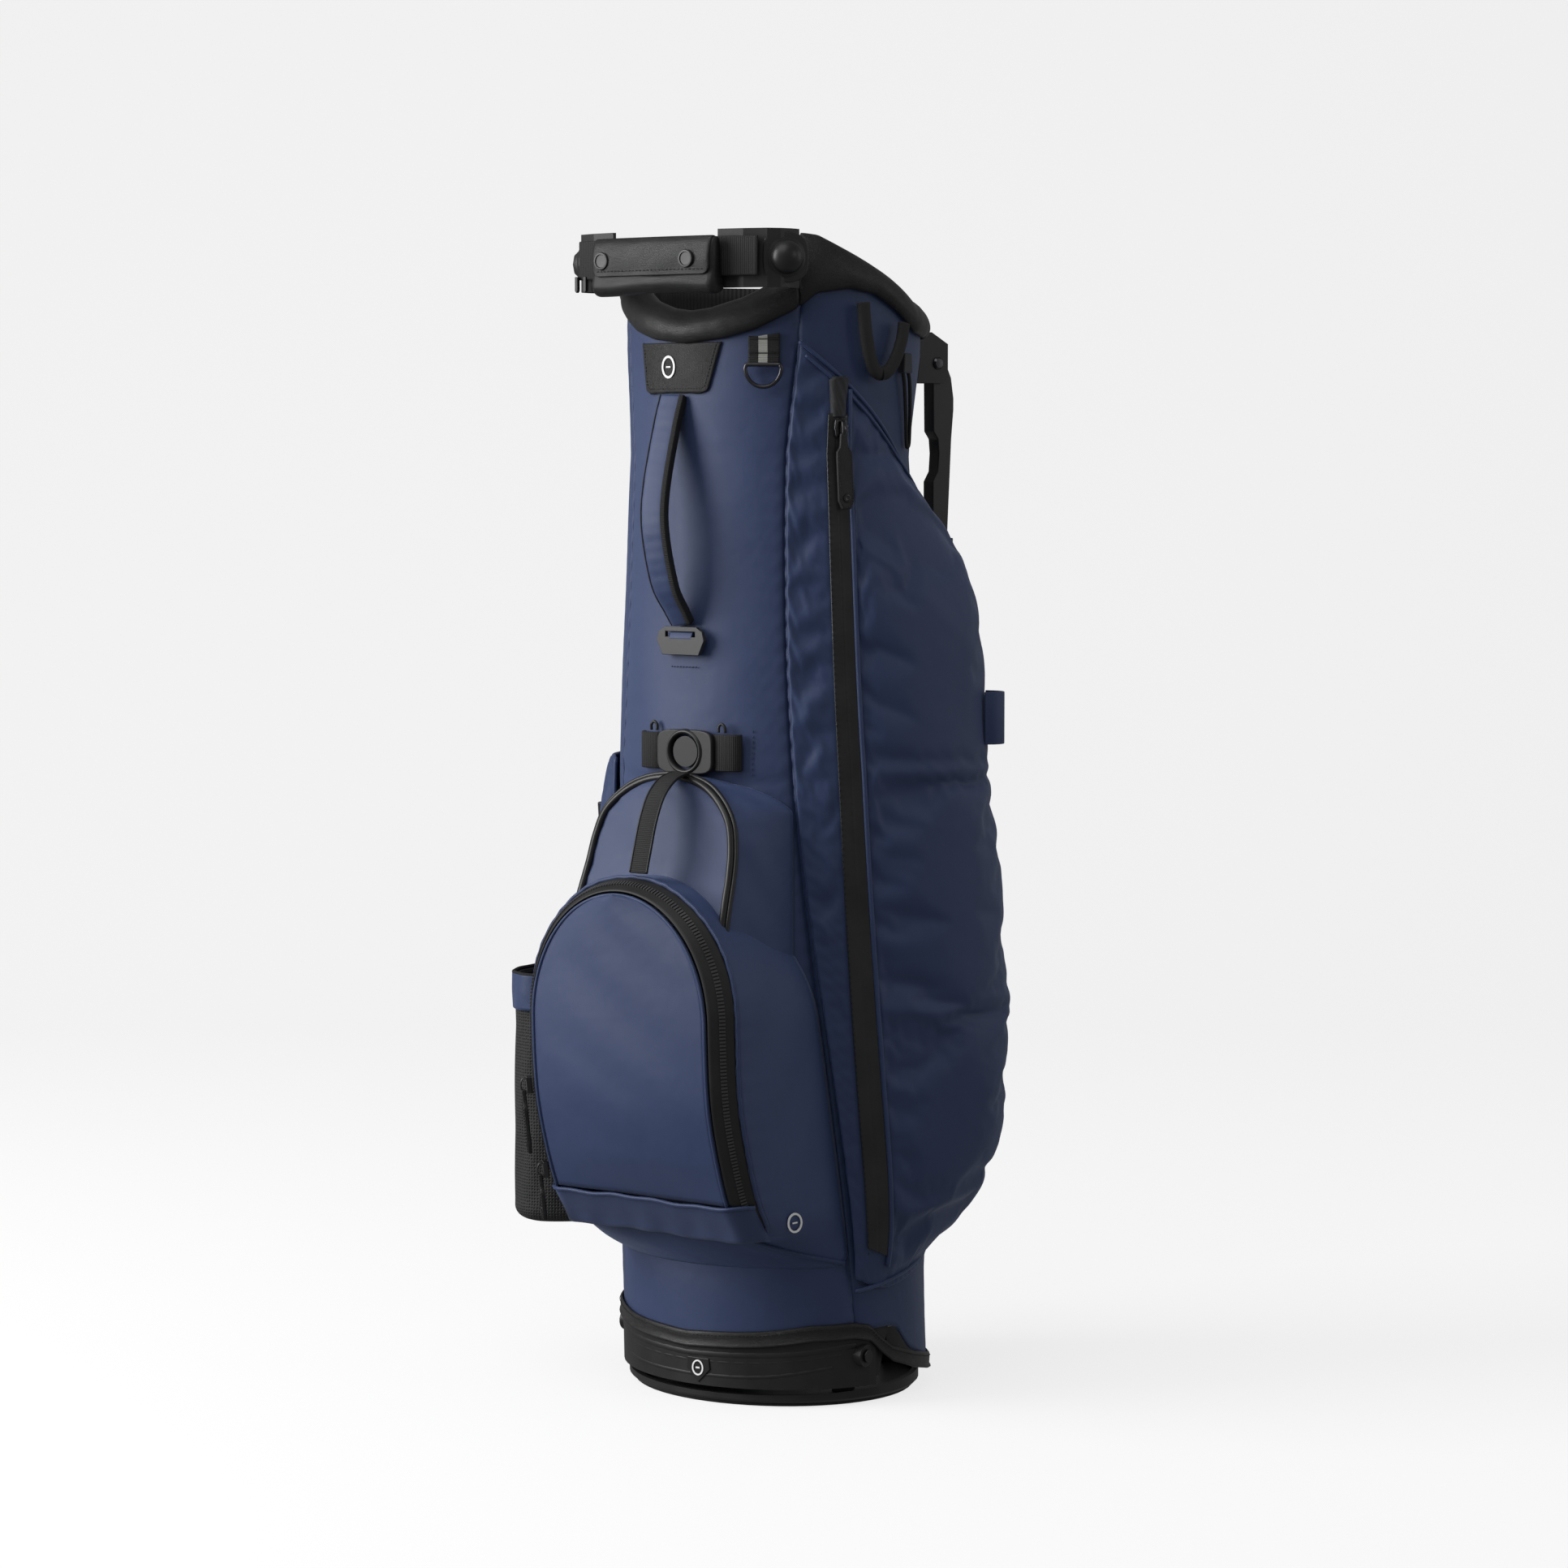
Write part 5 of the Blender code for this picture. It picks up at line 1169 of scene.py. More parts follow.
def mark(name, at, across, up, tall):
    """A plain ring with a bar in it, for the printed badge."""
    ring = [
        (tall * 0.42 * math.cos(a), tall * 0.5 * math.sin(a))
        for a in np.linspace(0, 2 * math.pi, 40, endpoint=False)
    ]
    inner = [(x * 0.76, z * 0.80) for x, z in ring]
    place_on(plate(name + "_ring", ring, at, across, up, 0.0004, pale_print, 0, inner), "bag", "navy_cloth")
    bar = [(-tall * 0.14, -0.0006), (tall * 0.14, -0.0006), (tall * 0.14, 0.0006), (-tall * 0.14, 0.0006)]
    place_on(plate(name + "_bar", bar, at, across, up, 0.0004, pale_print, 0), "bag", "navy_cloth")


mark(
    "patch_mark", spine(-0.018, collar_low_z - 0.0170, 0.0026), Vector((1, -0.16, 0)).normalized(),
    Vector((0, 0, 1)), 0.017
)

# ---- Grab handle on the spine ----------------------------------------------------------------------
# A padded strip of cloth, bound with black tape along both edges. It bows out from under the patch down to a
# flat moulded ring that a tab of cloth holds to the spine.
route = (
    (-0.013, 0.0032, 0.760), (-0.013, 0.012, 0.7365), (-0.011, 0.026, 0.6915), (-0.008, 0.030, 0.6605),
    (-0.004, 0.0225, 0.6205), (-0.001, 0.0105, 0.5995), (0.0, 0.0045, 0.5905),
)
handle_line = curve_through([spine(x, z + collar_low_z - 0.7985, out) for x, out, z in route], 100)
rows = []
for i, p in enumerate(handle_line):
    ahead = (handle_line[min(i + 1, 99)] - handle_line[max(i - 1, 0)]).normalized()
    across = (Vector((1, 0.10, 0)) - ahead * ahead.dot(Vector((1, 0.10, 0)))).normalized()
    out = across.cross(ahead)
    taper = 1.0 if i < 78 else 1 - 0.16 * (i - 78) / 21
    rows.append([
        p + across * a * 0.0108 * taper + out * b * (0.0030 + 0.0002 * ripple(i * 0.5, 2))
        for a, b in (
            (math.copysign(abs(math.cos(t)) ** 0.7, math.cos(t)), math.sin(t))
            for t in np.linspace(0, 2 * math.pi, 36, endpoint=False)
        )
    ])
pad = sealed(sheet_mesh("spine_handle_pad", rows, navy_cloth, round_trip=True))
place_on(pad, "bag", "navy_cloth", "spine_handle")
binding = webbing_paint("edge_binding", (0.0075, 0.0075, 0.0080), 0.0011)
for word, side, wide, tall in (("left", -1, 0.0018, 0.0040), ("right", 1, 0.0044, 0.0066)):
    line, ways = [], []
    for row in rows:
        middle = sum(row, Vector()) / len(row)
        corner = row[0] if side > 0 else row[18]
        line.append(middle + (corner - middle) * (1 - 0.35 * wide / 0.0108))
        ways.append((corner - middle).normalized())
    tape = sweep(f"handle_binding_{word}", line, strip(wide, tall, 0.0009), binding, side=ways)
    place_on(tape, "bag", "black_webbing")
tab = curve_through(
    [
        spine(0, z, out)
        for z, out in (
            (0.5850, 0.0036), (0.5795, 0.0060), (0.5770, 0.0030), (0.5745, 0.0012), (0.5725, 0.0004)
        )
    ],
    40
)
place_on(sweep("ring_tab", tab, strip(0.021, 0.0012), navy_cloth, side=(1, 0, 0)), "bag", "navy_cloth")
line = [spine(x, 0.5580, 0.0012) for x in np.linspace(-0.0115, 0.0115, 12)]
place_on(
    row_of(
        "ring_tab_bartack", "stitch", [line], [Vector((0, -1, 0))], navy_thread, 0.0026, 0.0016, 0.0012,
        0.0010, 0.0018
    ),
    "bag", "navy_cloth",
)
ring_paint = plain_paint("satin_ring", (0.016, 0.016, 0.017), 0.30, 900.0, 0.00002)
moulded_ring = softened(
    "moulded_ring", ["strap_ring"], ring_paint, "strap_ring", "black_plastic", 0.0009, 30, 3
)
for vertex in moulded_ring.data.vertices:
    vertex.co.x *= 1.18  # its ends flare past the working ring's

# ---- Striped strap and D-ring ----------------------------------------------------------------------
# A doubled length of black webbing with a grey middle stripe, bar-tacked twice, holds a wire D-ring.
striped = webbing_paint(
    "striped_webbing", (0.0085, 0.0085, 0.0090), 0.0013, stripe=(0.0078, 0.0146, (0.34, 0.34, 0.32))
)
rows = []
for share in np.linspace(0, 1, 30):
    row = []
    for angle in np.linspace(25.2, 36.8, 20):
        z = collar_low_z - 0.0150 + (0.0225 - (37 - angle) * 0.0003) * share
        tack = sum(
            0.0006 * math.exp(-(((z - collar_low_z + off) / 0.0008) ** 2)) for off in (0.0075, -0.003)
        )
        row.append(wall(angle, z, 0.0036 - tack))
    rows.append(row)
place_on(sheet_mesh("strap_with_stripe", rows, striped, 0.0024), "bag", "striped_webbing", "striped_strap")
lines = [[wall(a, collar_low_z + z, 0.0037) for a in np.linspace(25.6, 36.4, 14)] for z in (-0.0075, 0.003)]
place_on(
    row_of(
        "strap_bartacks", "stitch", lines, [Vector((0.5, -0.85, 0))] * 2, black_thread, 0.0008, 0.0012,
        0.0007, 0.0007, 0.0012
    ),
    "bag", "striped_webbing",
)
ring_top = Vector((*wall(31, collar_low_z - 0.0135, 0.006).xy, collar_low_z - 0.0159))
tangent = Vector((0.857167, 0.515038, 0))
hoop = [ring_top + tangent * x for x in np.linspace(-0.0125, 0.0125, 16)]
hoop += [
    ring_top + tangent * 0.0135 * math.cos(t) - Vector((0, 0, 0.002 + 0.0145 * math.sin(t)))
    for t in np.linspace(0.05, math.pi - 0.05, 40)
]
hoop = [Vector(p) for p in evened(hoop + [hoop[0]], 90)[:-1]]
place_on(
    sweep(
        "wire_d_ring", hoop, circle(0.0015, 12), gunmetal, side=tangent.cross(Vector((0, 0, 1))),
        closed=True
    ),
    "d_ring", "black_metal", "d_ring"
)

# ---- Magnetic clip ---------------------------------------------------------------------------------
# A moulded holder with a round recess and a disc magnet in it. Webbing loops at both ends hold it to the
# spine, and a row of stitches shows where the webbing is sewn down behind the cloth.
clip_z = collar_low_z - 0.3035
softened("clip_disc", ["clip_magnet"], smooth_plastic, "bag", "black_metal", 0.0004, 30, 2)
outline = [
    (
        0.0245 * math.copysign(abs(math.cos(a)) ** 0.42, math.cos(a)) * (1 + 0.06 * abs(math.cos(a))),
        0.0165 * math.copysign(abs(math.sin(a)) ** 0.35, math.sin(a))
    )
    for a in np.linspace(0, 2 * math.pi, 64, endpoint=False)
]
hole = [(0.0136 * math.cos(a), 0.0136 * math.sin(a)) for a in np.linspace(0, 2 * math.pi, 64, endpoint=False)]
clip = plate(
    "clip_body", outline, spine(0.006, clip_z, 0.0012), Vector((1, 0, 0)), Vector((0, 0, 1)), 0.0054,
    smooth_plastic, 0.0011, hole
)
place_on(clip, "bag", "black_plastic", "magnet_clip")
clip_face = spine(0.006, clip_z, 0.0062)
rim_profile = [
    (0.0134, -0.0022), (0.0137, 0.0010), (0.0146, 0.0019), (0.0158, 0.0018), (0.0168, 0.0006),
    (0.0172, -0.0010)
]
rows = [
    [
        clip_face + Vector((math.cos(t) * r, -d, math.sin(t) * r))
        for t in np.linspace(0, 2 * math.pi, 64, endpoint=False)
    ]
    for r, d in rim_profile
]
rows.append(rows[0])
place_on(sheet_mesh("clip_rim", rows, smooth_plastic, 0.0, True, True), "bag", "black_plastic")
for word, side in (("left", -1), ("right", 1)):
    line = [
        spine(0.005 + side * x, clip_z, out)
        for x, out in (
            (0.0215, 0.0020), (0.0250, 0.0040), (0.0290, 0.0062), (0.0350, 0.0072), (0.0410, 0.0068),
            (0.0440, 0.0050), (0.0446, 0.0028), (0.0435, 0.0012)
        )
    ]
    loop = sweep(
        f"clip_loop_{word}", curve_through(line, 40), strip(0.0275, 0.0020), black_webbing, side=(0, 0, 1)
    )
    place_on(loop, "bag", "black_webbing")
    hook = curve_through([
        spine(0.005 + side * x, clip_z + z, out)
        for x, z, out in (
            (0.034, 0.0150, 0.0050), (0.0338, 0.0190, 0.0055), (0.0310, 0.0215, 0.0050),
            (0.0285, 0.0190, 0.0045), (0.0285, 0.0150, 0.0045)
        )
    ], 24)
    place_on(sweep(f"clip_hook_{word}", hook, circle(0.0011, 8), smooth_plastic), "bag", "black_plastic")
line = [spine(0.0565, z, 0.0008) for z in np.linspace(clip_z - 0.016, clip_z + 0.016, 14)]
place_on(
    row_of(
        "clip_stitches", "stitch", [line], [Vector((0.4, -0.9, 0))], navy_thread, 0.0036, 0.0022, 0.0009,
        0.0007
    ),
    "bag", "navy_cloth",
)

# ---- Clothing pocket -------------------------------------------------------------------------------
# A long padded pocket from the main seam round to the back, plump towards the rear. Its long panel is soft
# cloth under a little air, held along its edges and along the zip. Navy piping closes the outer edge.
COAT_START, COAT_END, COAT_DEEP = 43.5, 150.0, 0.064
COAT_PLAN = (  # angle, share of the pocket's full depth
    (43.5, 0.0), (50, 0.05), (58, 0.10), (66, 0.17), (76, 0.30), (88, 0.48), (100, 0.72), (108, 0.90),
    (114, 0.985), (120, 0.95), (128, 0.74), (137, 0.40), (145, 0.12), (150, 0.0),
)
COAT_RISE = (  # share of the pocket's height, share of its depth there
    (0.0, 0.0), (0.04, 0.40), (0.09, 0.72), (0.17, 0.94), (0.28, 1.0), (0.45, 0.95), (0.66, 0.80),
    (0.80, 0.77), (0.88, 0.68), (0.95, 0.40), (1.0, 0.0),
)
COAT_LOW = ((43.5, 0.098), (60, 0.088), (90, 0.098), (114, 0.112), (150, 0.125))
COAT_DROP = ((43.5, -0.002), (70, 0.040), (110, 0.108), (150, 0.170))  # upper edge under the rim


def coat_low(angle):
    return eased(COAT_LOW, angle)


def coat_high(angle):
    return collar_low_z - eased(COAT_DROP, angle)


def coat_at(angle, z, out=0.0):
    """A point on the pocket's face, or out from it."""
    share = (z - coat_low(angle)) / (coat_high(angle) - coat_low(angle))
    share = min(1.0, max(0.0, share))
    return wall(angle, z, 0.0036 + COAT_DEEP * eased(COAT_PLAN, angle) * eased(COAT_RISE, share) + out)


def zip_angle(z):
    return eased(((0.10, 73.5), (0.25, 67.8), (0.50, 62.0), (collar_low_z - 0.04, 60.0)), z)


def puffed(piece, pinned, pressure, reach, frames=18):
    """Air pushes the cloth out between the pinned vertices; no vertex moves further than reach."""
    before = [v.co.copy() for v in piece.data.vertices]
    group = piece.vertex_groups.new(name="held")
    for index, weight in pinned.items():
        group.add([index], weight, "REPLACE")
    cloth = piece.modifiers.new("air", "CLOTH")
    cloth.settings.quality = 5
    cloth.settings.mass = 0.15
    cloth.settings.tension_stiffness = cloth.settings.compression_stiffness = 12
    cloth.settings.shear_stiffness, cloth.settings.bending_stiffness = 6, 0.3
    cloth.settings.vertex_group_mass = "held"
    cloth.settings.shrink_min = -0.035
    cloth.settings.use_pressure = True
    cloth.settings.uniform_pressure_force = pressure
    cloth.settings.effector_weights.gravity = 0.0
    cloth.point_cache.frame_start, cloth.point_cache.frame_end = 1, frames
    scene = bpy.context.scene
    for number in range(1, frames + 1):
        scene.frame_set(number)
    settled = bpy.data.meshes.new_from_object(piece.evaluated_get(bpy.context.evaluated_depsgraph_get()))
    piece.modifiers.remove(cloth)
    for vertex, start, end in zip(piece.data.vertices, before, settled.vertices):
        move = end.co - start
        vertex.co = start + move * min(1.0, reach / max(move.length, 1e-6))
    bpy.data.meshes.remove(settled)
    scene.frame_set(1)
    piece.vertex_groups.remove(group)


angles = np.linspace(COAT_START + 0.1, COAT_END - 0.1, 84)
shares = np.linspace(0, 1, 124)
rows, pinned = [], {}
for i, share in enumerate(shares):
    row = []
    for j, angle in enumerate(angles):
        z = coat_low(angle) + (coat_high(angle) - coat_low(angle)) * share
        angle += (seam_at(z) + 0.5 - COAT_START) * (COAT_END - angle) / (COAT_END - COAT_START)
        near_zip = abs(angle - zip_angle(min(max(z, 0.10), 0.77)))
        edge = max(0.0, min(angle - seam_at(z) - 0.5, COAT_END - angle)) * 0.0021
        edge = min(edge, share * 0.6, (1 - share) * 0.6)
        pucker = 0.0005 * math.exp(-edge / 0.010) * ripple(z * 330 + angle * 2, 6)
        zip_pucker = 0.0
        if angle < zip_angle(0.5) + 4:
            zip_pucker = 0.0006 * math.exp(-abs(near_zip - 4.6) / 1.4) * ripple(z * 520, 1)
        slack = 0.0012 * ripple(z * 13 + angle * 0.05, 5) * min(1.0, edge / 0.03) if near_zip > 7 else 0.0
        row.append(coat_at(angle, z, pucker + zip_pucker + slack))
        held = max(0.0, 1 - edge / 0.006) if near_zip > 5.5 else 1.0
        if held > 0:
            pinned[i * len(angles) + j] = held
    rows.append(row)
# The pocket takes the darker copy of the navy cloth, whose colour holds painted shade.
coat = sheet_mesh("coat_pocket_cloth", rows, painted_shade_side_cloth)
puffed(coat, pinned, 2.5, 0.0045)
wall_of = coat.modifiers.new("wall", "SOLIDIFY")
wall_of.thickness, wall_of.offset = 0.0018, -1
smoother = coat.modifiers.new("fine", "SUBSURF")
smoother.levels = smoother.render_levels = 1
place_on(coat, "bag", "navy_side_cloth", "coat_pocket")

top_edge = [(a, coat_high(a)) for a in np.linspace(COAT_START + 0.5, COAT_END - 1, 90)]
rear_edge = [(COAT_END - 0.6, z) for z in np.linspace(coat_high(COAT_END), coat_low(COAT_END) + 0.004, 70)]
low_edge = [(a, coat_low(a)) for a in np.linspace(COAT_END - 1, seam_at(coat_low(62)) + 0.5, 80)]
line = [
    Vector(p) for p in evened([wall(a, z, 0.0040) for a, z in top_edge + rear_edge[1:-1] + low_edge], 420)
]
place_on(sweep("coat_piping", line, circle(0.0015), navy_piping), "bag", "navy_side_cloth")
line = [Vector(p) for p in evened([coat_at(a, z - 0.0065, 0.0006) for a, z in top_edge[2:-2]], 130)]
place_on(sweep("coat_piping_inner", line, circle(0.0012), navy_piping), "bag", "navy_side_cloth")

# ---- Zip of the clothing pocket --------------------------------------------------------------------
# A coated water-repellent zip: two satin tapes meet over hidden teeth. Navy piping runs along its rear side,
# dark stitches along its front side, and a garage of soft black cloth covers its upper end.
zip_satin = plain_paint("coated_zip_tape", (0.0120, 0.0120, 0.0122), 0.34, 1300.0, 0.00004, coat=0.15)
ZIP_LOW, ZIP_TOP, ZIP_HALF = 0.118, collar_low_z - 0.0520, 4.1
heights = np.linspace(ZIP_LOW, ZIP_TOP, 260)
rows = []
for i, z in enumerate(heights):
    middle = zip_angle(z)
    row = []
    for s in np.linspace(-1, 1, 17):
        slant = 0.004 * s * (1 - min(1.0, (z - ZIP_LOW) / 0.02))
        groove = -0.0005 * math.exp(-((s / 0.10) ** 2)) + 0.0004 * (1 - s * s)
        comb = 0.00012 * math.sin(i * 2.2) * math.exp(-((s / 0.22) ** 2))
        row.append(coat_at(middle + ZIP_HALF * s, z - slant, 0.0016 + groove + comb))
    rows.append(row)
place_on(sheet_mesh("coat_zip_tape", rows, zip_satin, 0.0009), "bag", "zipper", "coat_zip")
piped = [
    coat_at(zip_angle(z) + ZIP_HALF + 0.5, z, 0.0014)
    for z in np.linspace(ZIP_LOW - 0.012, ZIP_TOP + 0.018, 200)
]
place_on(sweep("coat_zip_piping", piped, circle(0.0019), navy_piping), "bag", "navy_side_cloth")
sewn = [coat_at(zip_angle(z) - ZIP_HALF + 0.2, z, 0.0022) for z in heights]
ways = [(p - Vector((0, -0.007, p.z))).normalized() for p in sewn]
place_on(
    row_of("coat_zip_stitches", "stitch", [sewn], [ways], black_thread, 0.0048, 0.0030, 0.0009, 0.0008),
    "bag", "zipper",
)
rows = []
for share in np.linspace(0, 1, 40):
    z = collar_low_z - 0.0545 + 0.0300 * share
    middle = zip_angle(min(z, collar_low_z - 0.04))
    half = (3.0 + 1.4 * share) if share < 0.9 else (4.4 - 14 * (share - 0.9))
    rows.append([
        coat_at(
            middle + half * s, z, 0.0034 * (1 - s**4) + 0.0006 + 0.0005 * ripple(z * 180 + s * 3, 2)
        ) for s in np.linspace(-1, 1, 22)
    ])
soft_black = cloth_paint("soft_black_cloth", (0.014, 0.014, 0.015), (0.008, 0.008, 0.009), gloss=0.55)
place_on(sheet_mesh("zip_garage", rows, soft_black, 0.0012), "bag", "black_webbing")

# ---- Zip sliders and leather pullers ---------------------------------------------------------------
# Three dark metal sliders with a bail each. Their pullers are two layers of leather, stitched round the edge
# and riveted near the end.
SLIDERS = (  # word, slider, puller, the slider's middle, away, along, up, the puller's reach
    ("coat", "coat_slider", "coat_puller", (0.1055, -0.0605, 0.7355), (0.8662, -0.4962, 0.0587),
     (0.4960, 0.8681, 0.0184), (-0.0601, 0.0132, 0.9981), 0.056),
    ("upper", "ball_slider_upper", "ball_puller_upper", (-0.09189, -0.18251, 0.243), (-0.722, -0.692, 0),
     (0.692, -0.722, 0), (0, -0.15, 0.99), 0.050),
    ("lower", "ball_slider_lower", "ball_puller_lower", (-0.09189, -0.16335, 0.176), (-0.722, -0.692, 0),
     (0.692, -0.722, 0), (0, -0.15, 0.99), 0.036),
)
for word, slider_node, puller_node, at, away, along, up, reach in SLIDERS:
    at = Vector(at)
    away, along, up = (Vector(v).normalized() for v in (away, along, up))
    softened(f"{word}_zip_slider", [slider_node], gunmetal, f"{word}_slider", "black_metal", 0.0008, 28, 3)
    bail = [at + away * a + up * u for a, u in (
        (0.0036, 0.0050), (0.0066, 0.0046), (0.0084, 0.0010), (0.0084, -0.0030), (0.0060, -0.0058),
        (0.0036, -0.0060))]
    place_on(
        sweep(f"{word}_bail", curve_through(bail, 28), strip(0.0032, 0.0012), gunmetal, side=along),
        f"{word}_slider", "black_metal"
    )
    softened(
        f"{word}_puller_leather", [puller_node], grip_leather, f"{word}_puller", "black_leather", 0.0009,
        28, 3
    )
    hang = at + away * 0.0068 - up * 0.004
    flat = [
        (-0.0030, -0.0110), (-0.0050, -0.0148), (-0.0050, -reach + 0.0064), (-0.0030, -reach + 0.0015),
        (0.0030, -reach + 0.0015), (0.0050, -reach + 0.0064), (0.0050, -0.0148), (0.0030, -0.0110),
    ]
    line = [hang + along * x + up * z + away * 0.0018 for x, z in flat]
    place_on(
        row_of(
            f"{word}_puller_stitches", "stitch", [line], [away], black_thread, 0.0022, 0.0016, 0.0005,
            0.0005
        ),
        f"{word}_puller", "black_leather",
    )
    rivet = spun(
        f"{word}_rivet",
        [
            (0.0030, -0.0036), (0.0031, 0.0), (0.0029, 0.0007), (0.0018, 0.0010), (0.0016, 0.0006),
            (0.0, 0.0005)
        ],
        hang - up * (reach - 0.0080) + away * 0.0016, away, gunmetal, 24,
    )
    place_on(rivet, f"{word}_puller", "black_metal")

# ---- Drink sleeve and small pouch ------------------------------------------------------------------
# An open sleeve of black mesh on the left side has a navy band round its mouth. A small pouch above it is
# closed by a webbing strap with a side-release buckle.
def mesh_paint(name):
    """Warp-knit spacer mesh: rows of small oval holes with painted shade inside them, in a soft black knit.
    """
    paint = Paint(name, Base_Color=(0.010, 0.010, 0.0105), Roughness=0.7)
    place = paint.node("ShaderNodeTexCoord", out=2)
    holes = paint.node(
        "ShaderNodeTexVoronoi", {"feature": "F1"}, {"Vector": place, "Scale": 420.0, "Randomness": 0.18}
    )
    rim = paint.ramp(holes, 0.0, 1.0, 0.18, 0.42)
    fuzz = paint.noise(place, 1900.0, 2.0)
    # The hole centres are painted near black: painted shade seen through the holes.
    paint.feed(
        "Base Color", paint.blend(rim * (fuzz * 0.5 + 0.75), (0.002, 0.002, 0.002), (0.019, 0.019, 0.020))
    )
    paint.feed("Roughness", paint.ramp(fuzz, 0.6, 0.85))
    paint.feed("Normal", paint.bump(rim, 0.0006))
    return paint


knit = mesh_paint("spacer_mesh")
SLEEVE = (
    (-0.1010, -0.0930), (-0.1180, -0.1130), (-0.1420, -0.1260), (-0.1640, -0.1180), (-0.1760, -0.0950),
    (-0.1790, -0.0600), (-0.1700, -0.0250), (-0.1500, -0.0020), (-0.1290, 0.0040),
)
sleeve_back = [wall(a, 0.2, 0.0022).xy for a in (268, 278, 288, 298, 306)]
sleeve_line = [
    Vector(p)
    for p in evened(
        curve_through([(x, y, 0) for x, y in SLEEVE], 80) + [
            Vector((*p, 0)) for p in sleeve_back
        ] + [Vector((*SLEEVE[0], 0))],
        161
    )[:-1]
]
sleeve_middle = Vector((-0.130, -0.058, 0))


def sleeve_ring(z, shrink, flutter=0.0):
    ring = []
    for k, p in enumerate(sleeve_line):
        inward = (sleeve_middle - p).normalized()
        front = k < 112
        ring.append(
            p + inward * (shrink if front else max(0.0, shrink * 0.35)) - inward * flutter
            * ripple(k * 0.22 + z * 30, 3) * front + Vector((0, 0, z))
        )
    return ring


rows = [
    sleeve_ring(0.1238 + 0.0105 * (1 - math.cos(t)), 0.0125 * (1 - math.sin(t)))
    for t in np.linspace(0, math.pi / 2, 8)
]
rows += [sleeve_ring(z, 0.0006, 0.0009) for z in np.linspace(0.140, 0.3155, 60)]
sleeve = sheet_mesh("drink_sleeve", rows, knit, 0.0018, True)
shape = bmesh.new()
shape.from_mesh(sleeve.data)
first = set(range(len(rows[0])))
bmesh.ops.holes_fill(
    shape,
    edges=[
        e for e in shape.edges if e.is_boundary and e.verts[0].index in first and e.verts[1].index in first
    ]
)
bmesh.ops.recalc_face_normals(shape, faces=shape.faces)
shape.to_mesh(sleeve.data)
shape.free()
place_on(sleeve, "bag", "black_mesh", "bottle_pocket")
band = [
    sleeve_ring(z, -0.0006 + 0.0004 * abs(s), 0.0009)
    for s, z in zip(np.linspace(-1, 1, 14), np.linspace(0.2890, 0.3172, 14))
]
place_on(sheet_mesh("sleeve_band", band, painted_shade_side_cloth, 0.0012, True), "bag", "navy_side_cloth")
line = sleeve_ring(0.3168, -0.0002, 0.0009)
place_on(sweep("sleeve_binding", line, circle(0.0014), binding, closed=True), "bag", "black_webbing")

rows, pinned = [], {}
for i, share in enumerate(np.linspace(0, 1, 60)):
    z = 0.3390 + (0.4840 - 0.3390) * share
    rise = max(0.0, math.sin(math.pi * min(1.0, 0.06 + share * 0.92))) ** 0.5
    row = []
    for j, angle in enumerate(np.linspace(-118, -52, 60)):
        across = max(0.0, math.sin(math.pi * (angle + 118.5) / 67.0)) ** 0.7
        row.append(
            wall(
                angle, z,
                0.0026 + 0.0225 * rise * across + 0.0010 * ripple(z * 40 + angle * 0.1, 3) * rise * across
            )
        )
        if i in (0, 59) or j in (0, 59):
            pinned[i * 60 + j] = 1.0
    rows.append(row)
pouch = sheet_mesh("left_pouch_cloth", rows, painted_shade_side_cloth)
puffed(pouch, pinned, 2.0, 0.0020)
wall_of = pouch.modifiers.new("wall", "SOLIDIFY")
wall_of.thickness, wall_of.offset = 0.0016, -1
place_on(pouch, "bag", "navy_side_cloth", "left_pouch")
outline = [rows[0][k] for k in range(0, 60, 2)] + [rows[k][59] for k in range(2, 60, 2)]
outline += [rows[59][k] for k in range(57, -1, -2)] + [rows[k][0] for k in range(57, 1, -2)]
place_on(
    sweep(
        "pouch_piping", [Vector(p) for p in evened(outline + [outline[0]], 240)[:-1]], circle(0.0014),
        navy_piping, closed=True
    ),
    "bag", "navy_side_cloth"
)
middle = -85.0
strap_path = [wall(middle, z, out) for z, out in (
    (0.4900, 0.0034), (0.4800, 0.0100), (0.4600, 0.0215), (0.4350, 0.0272), (0.4050, 0.0290),
    (0.3750, 0.0265), (0.3500, 0.0170), (0.3380, 0.0060))]
facing = Vector((math.sin(math.radians(middle)), -math.cos(math.radians(middle)), 0))
sideways = Vector((facing.y, -facing.x, 0))
place_on(
    sweep(
        "pouch_strap", curve_through(strap_path, 60), strip(0.0195, 0.0018), black_webbing, side=sideways
    ),
    "bag", "black_webbing"
)
buckle_at = wall(middle, 0.425, 0.0282)
for n, (low, high, half) in enumerate(((-0.019, 0.004, 0.0130), (0.0005, 0.019, 0.0130))):
    wide_low, wide_high = (half, half * 0.86) if n == 0 else (half * 0.86, half)
    outline = [(-wide_low, low), (wide_low, low), (wide_high, high), (-wide_high, high)]
    place_on(
        plate(
            f"buckle_{n}", outline, buckle_at + facing * 0.0005 * n, -sideways, Vector((0, 0, 1)), 0.0044,
            smooth_plastic, 0.0014
        ),
        "bag", "black_plastic"
    )

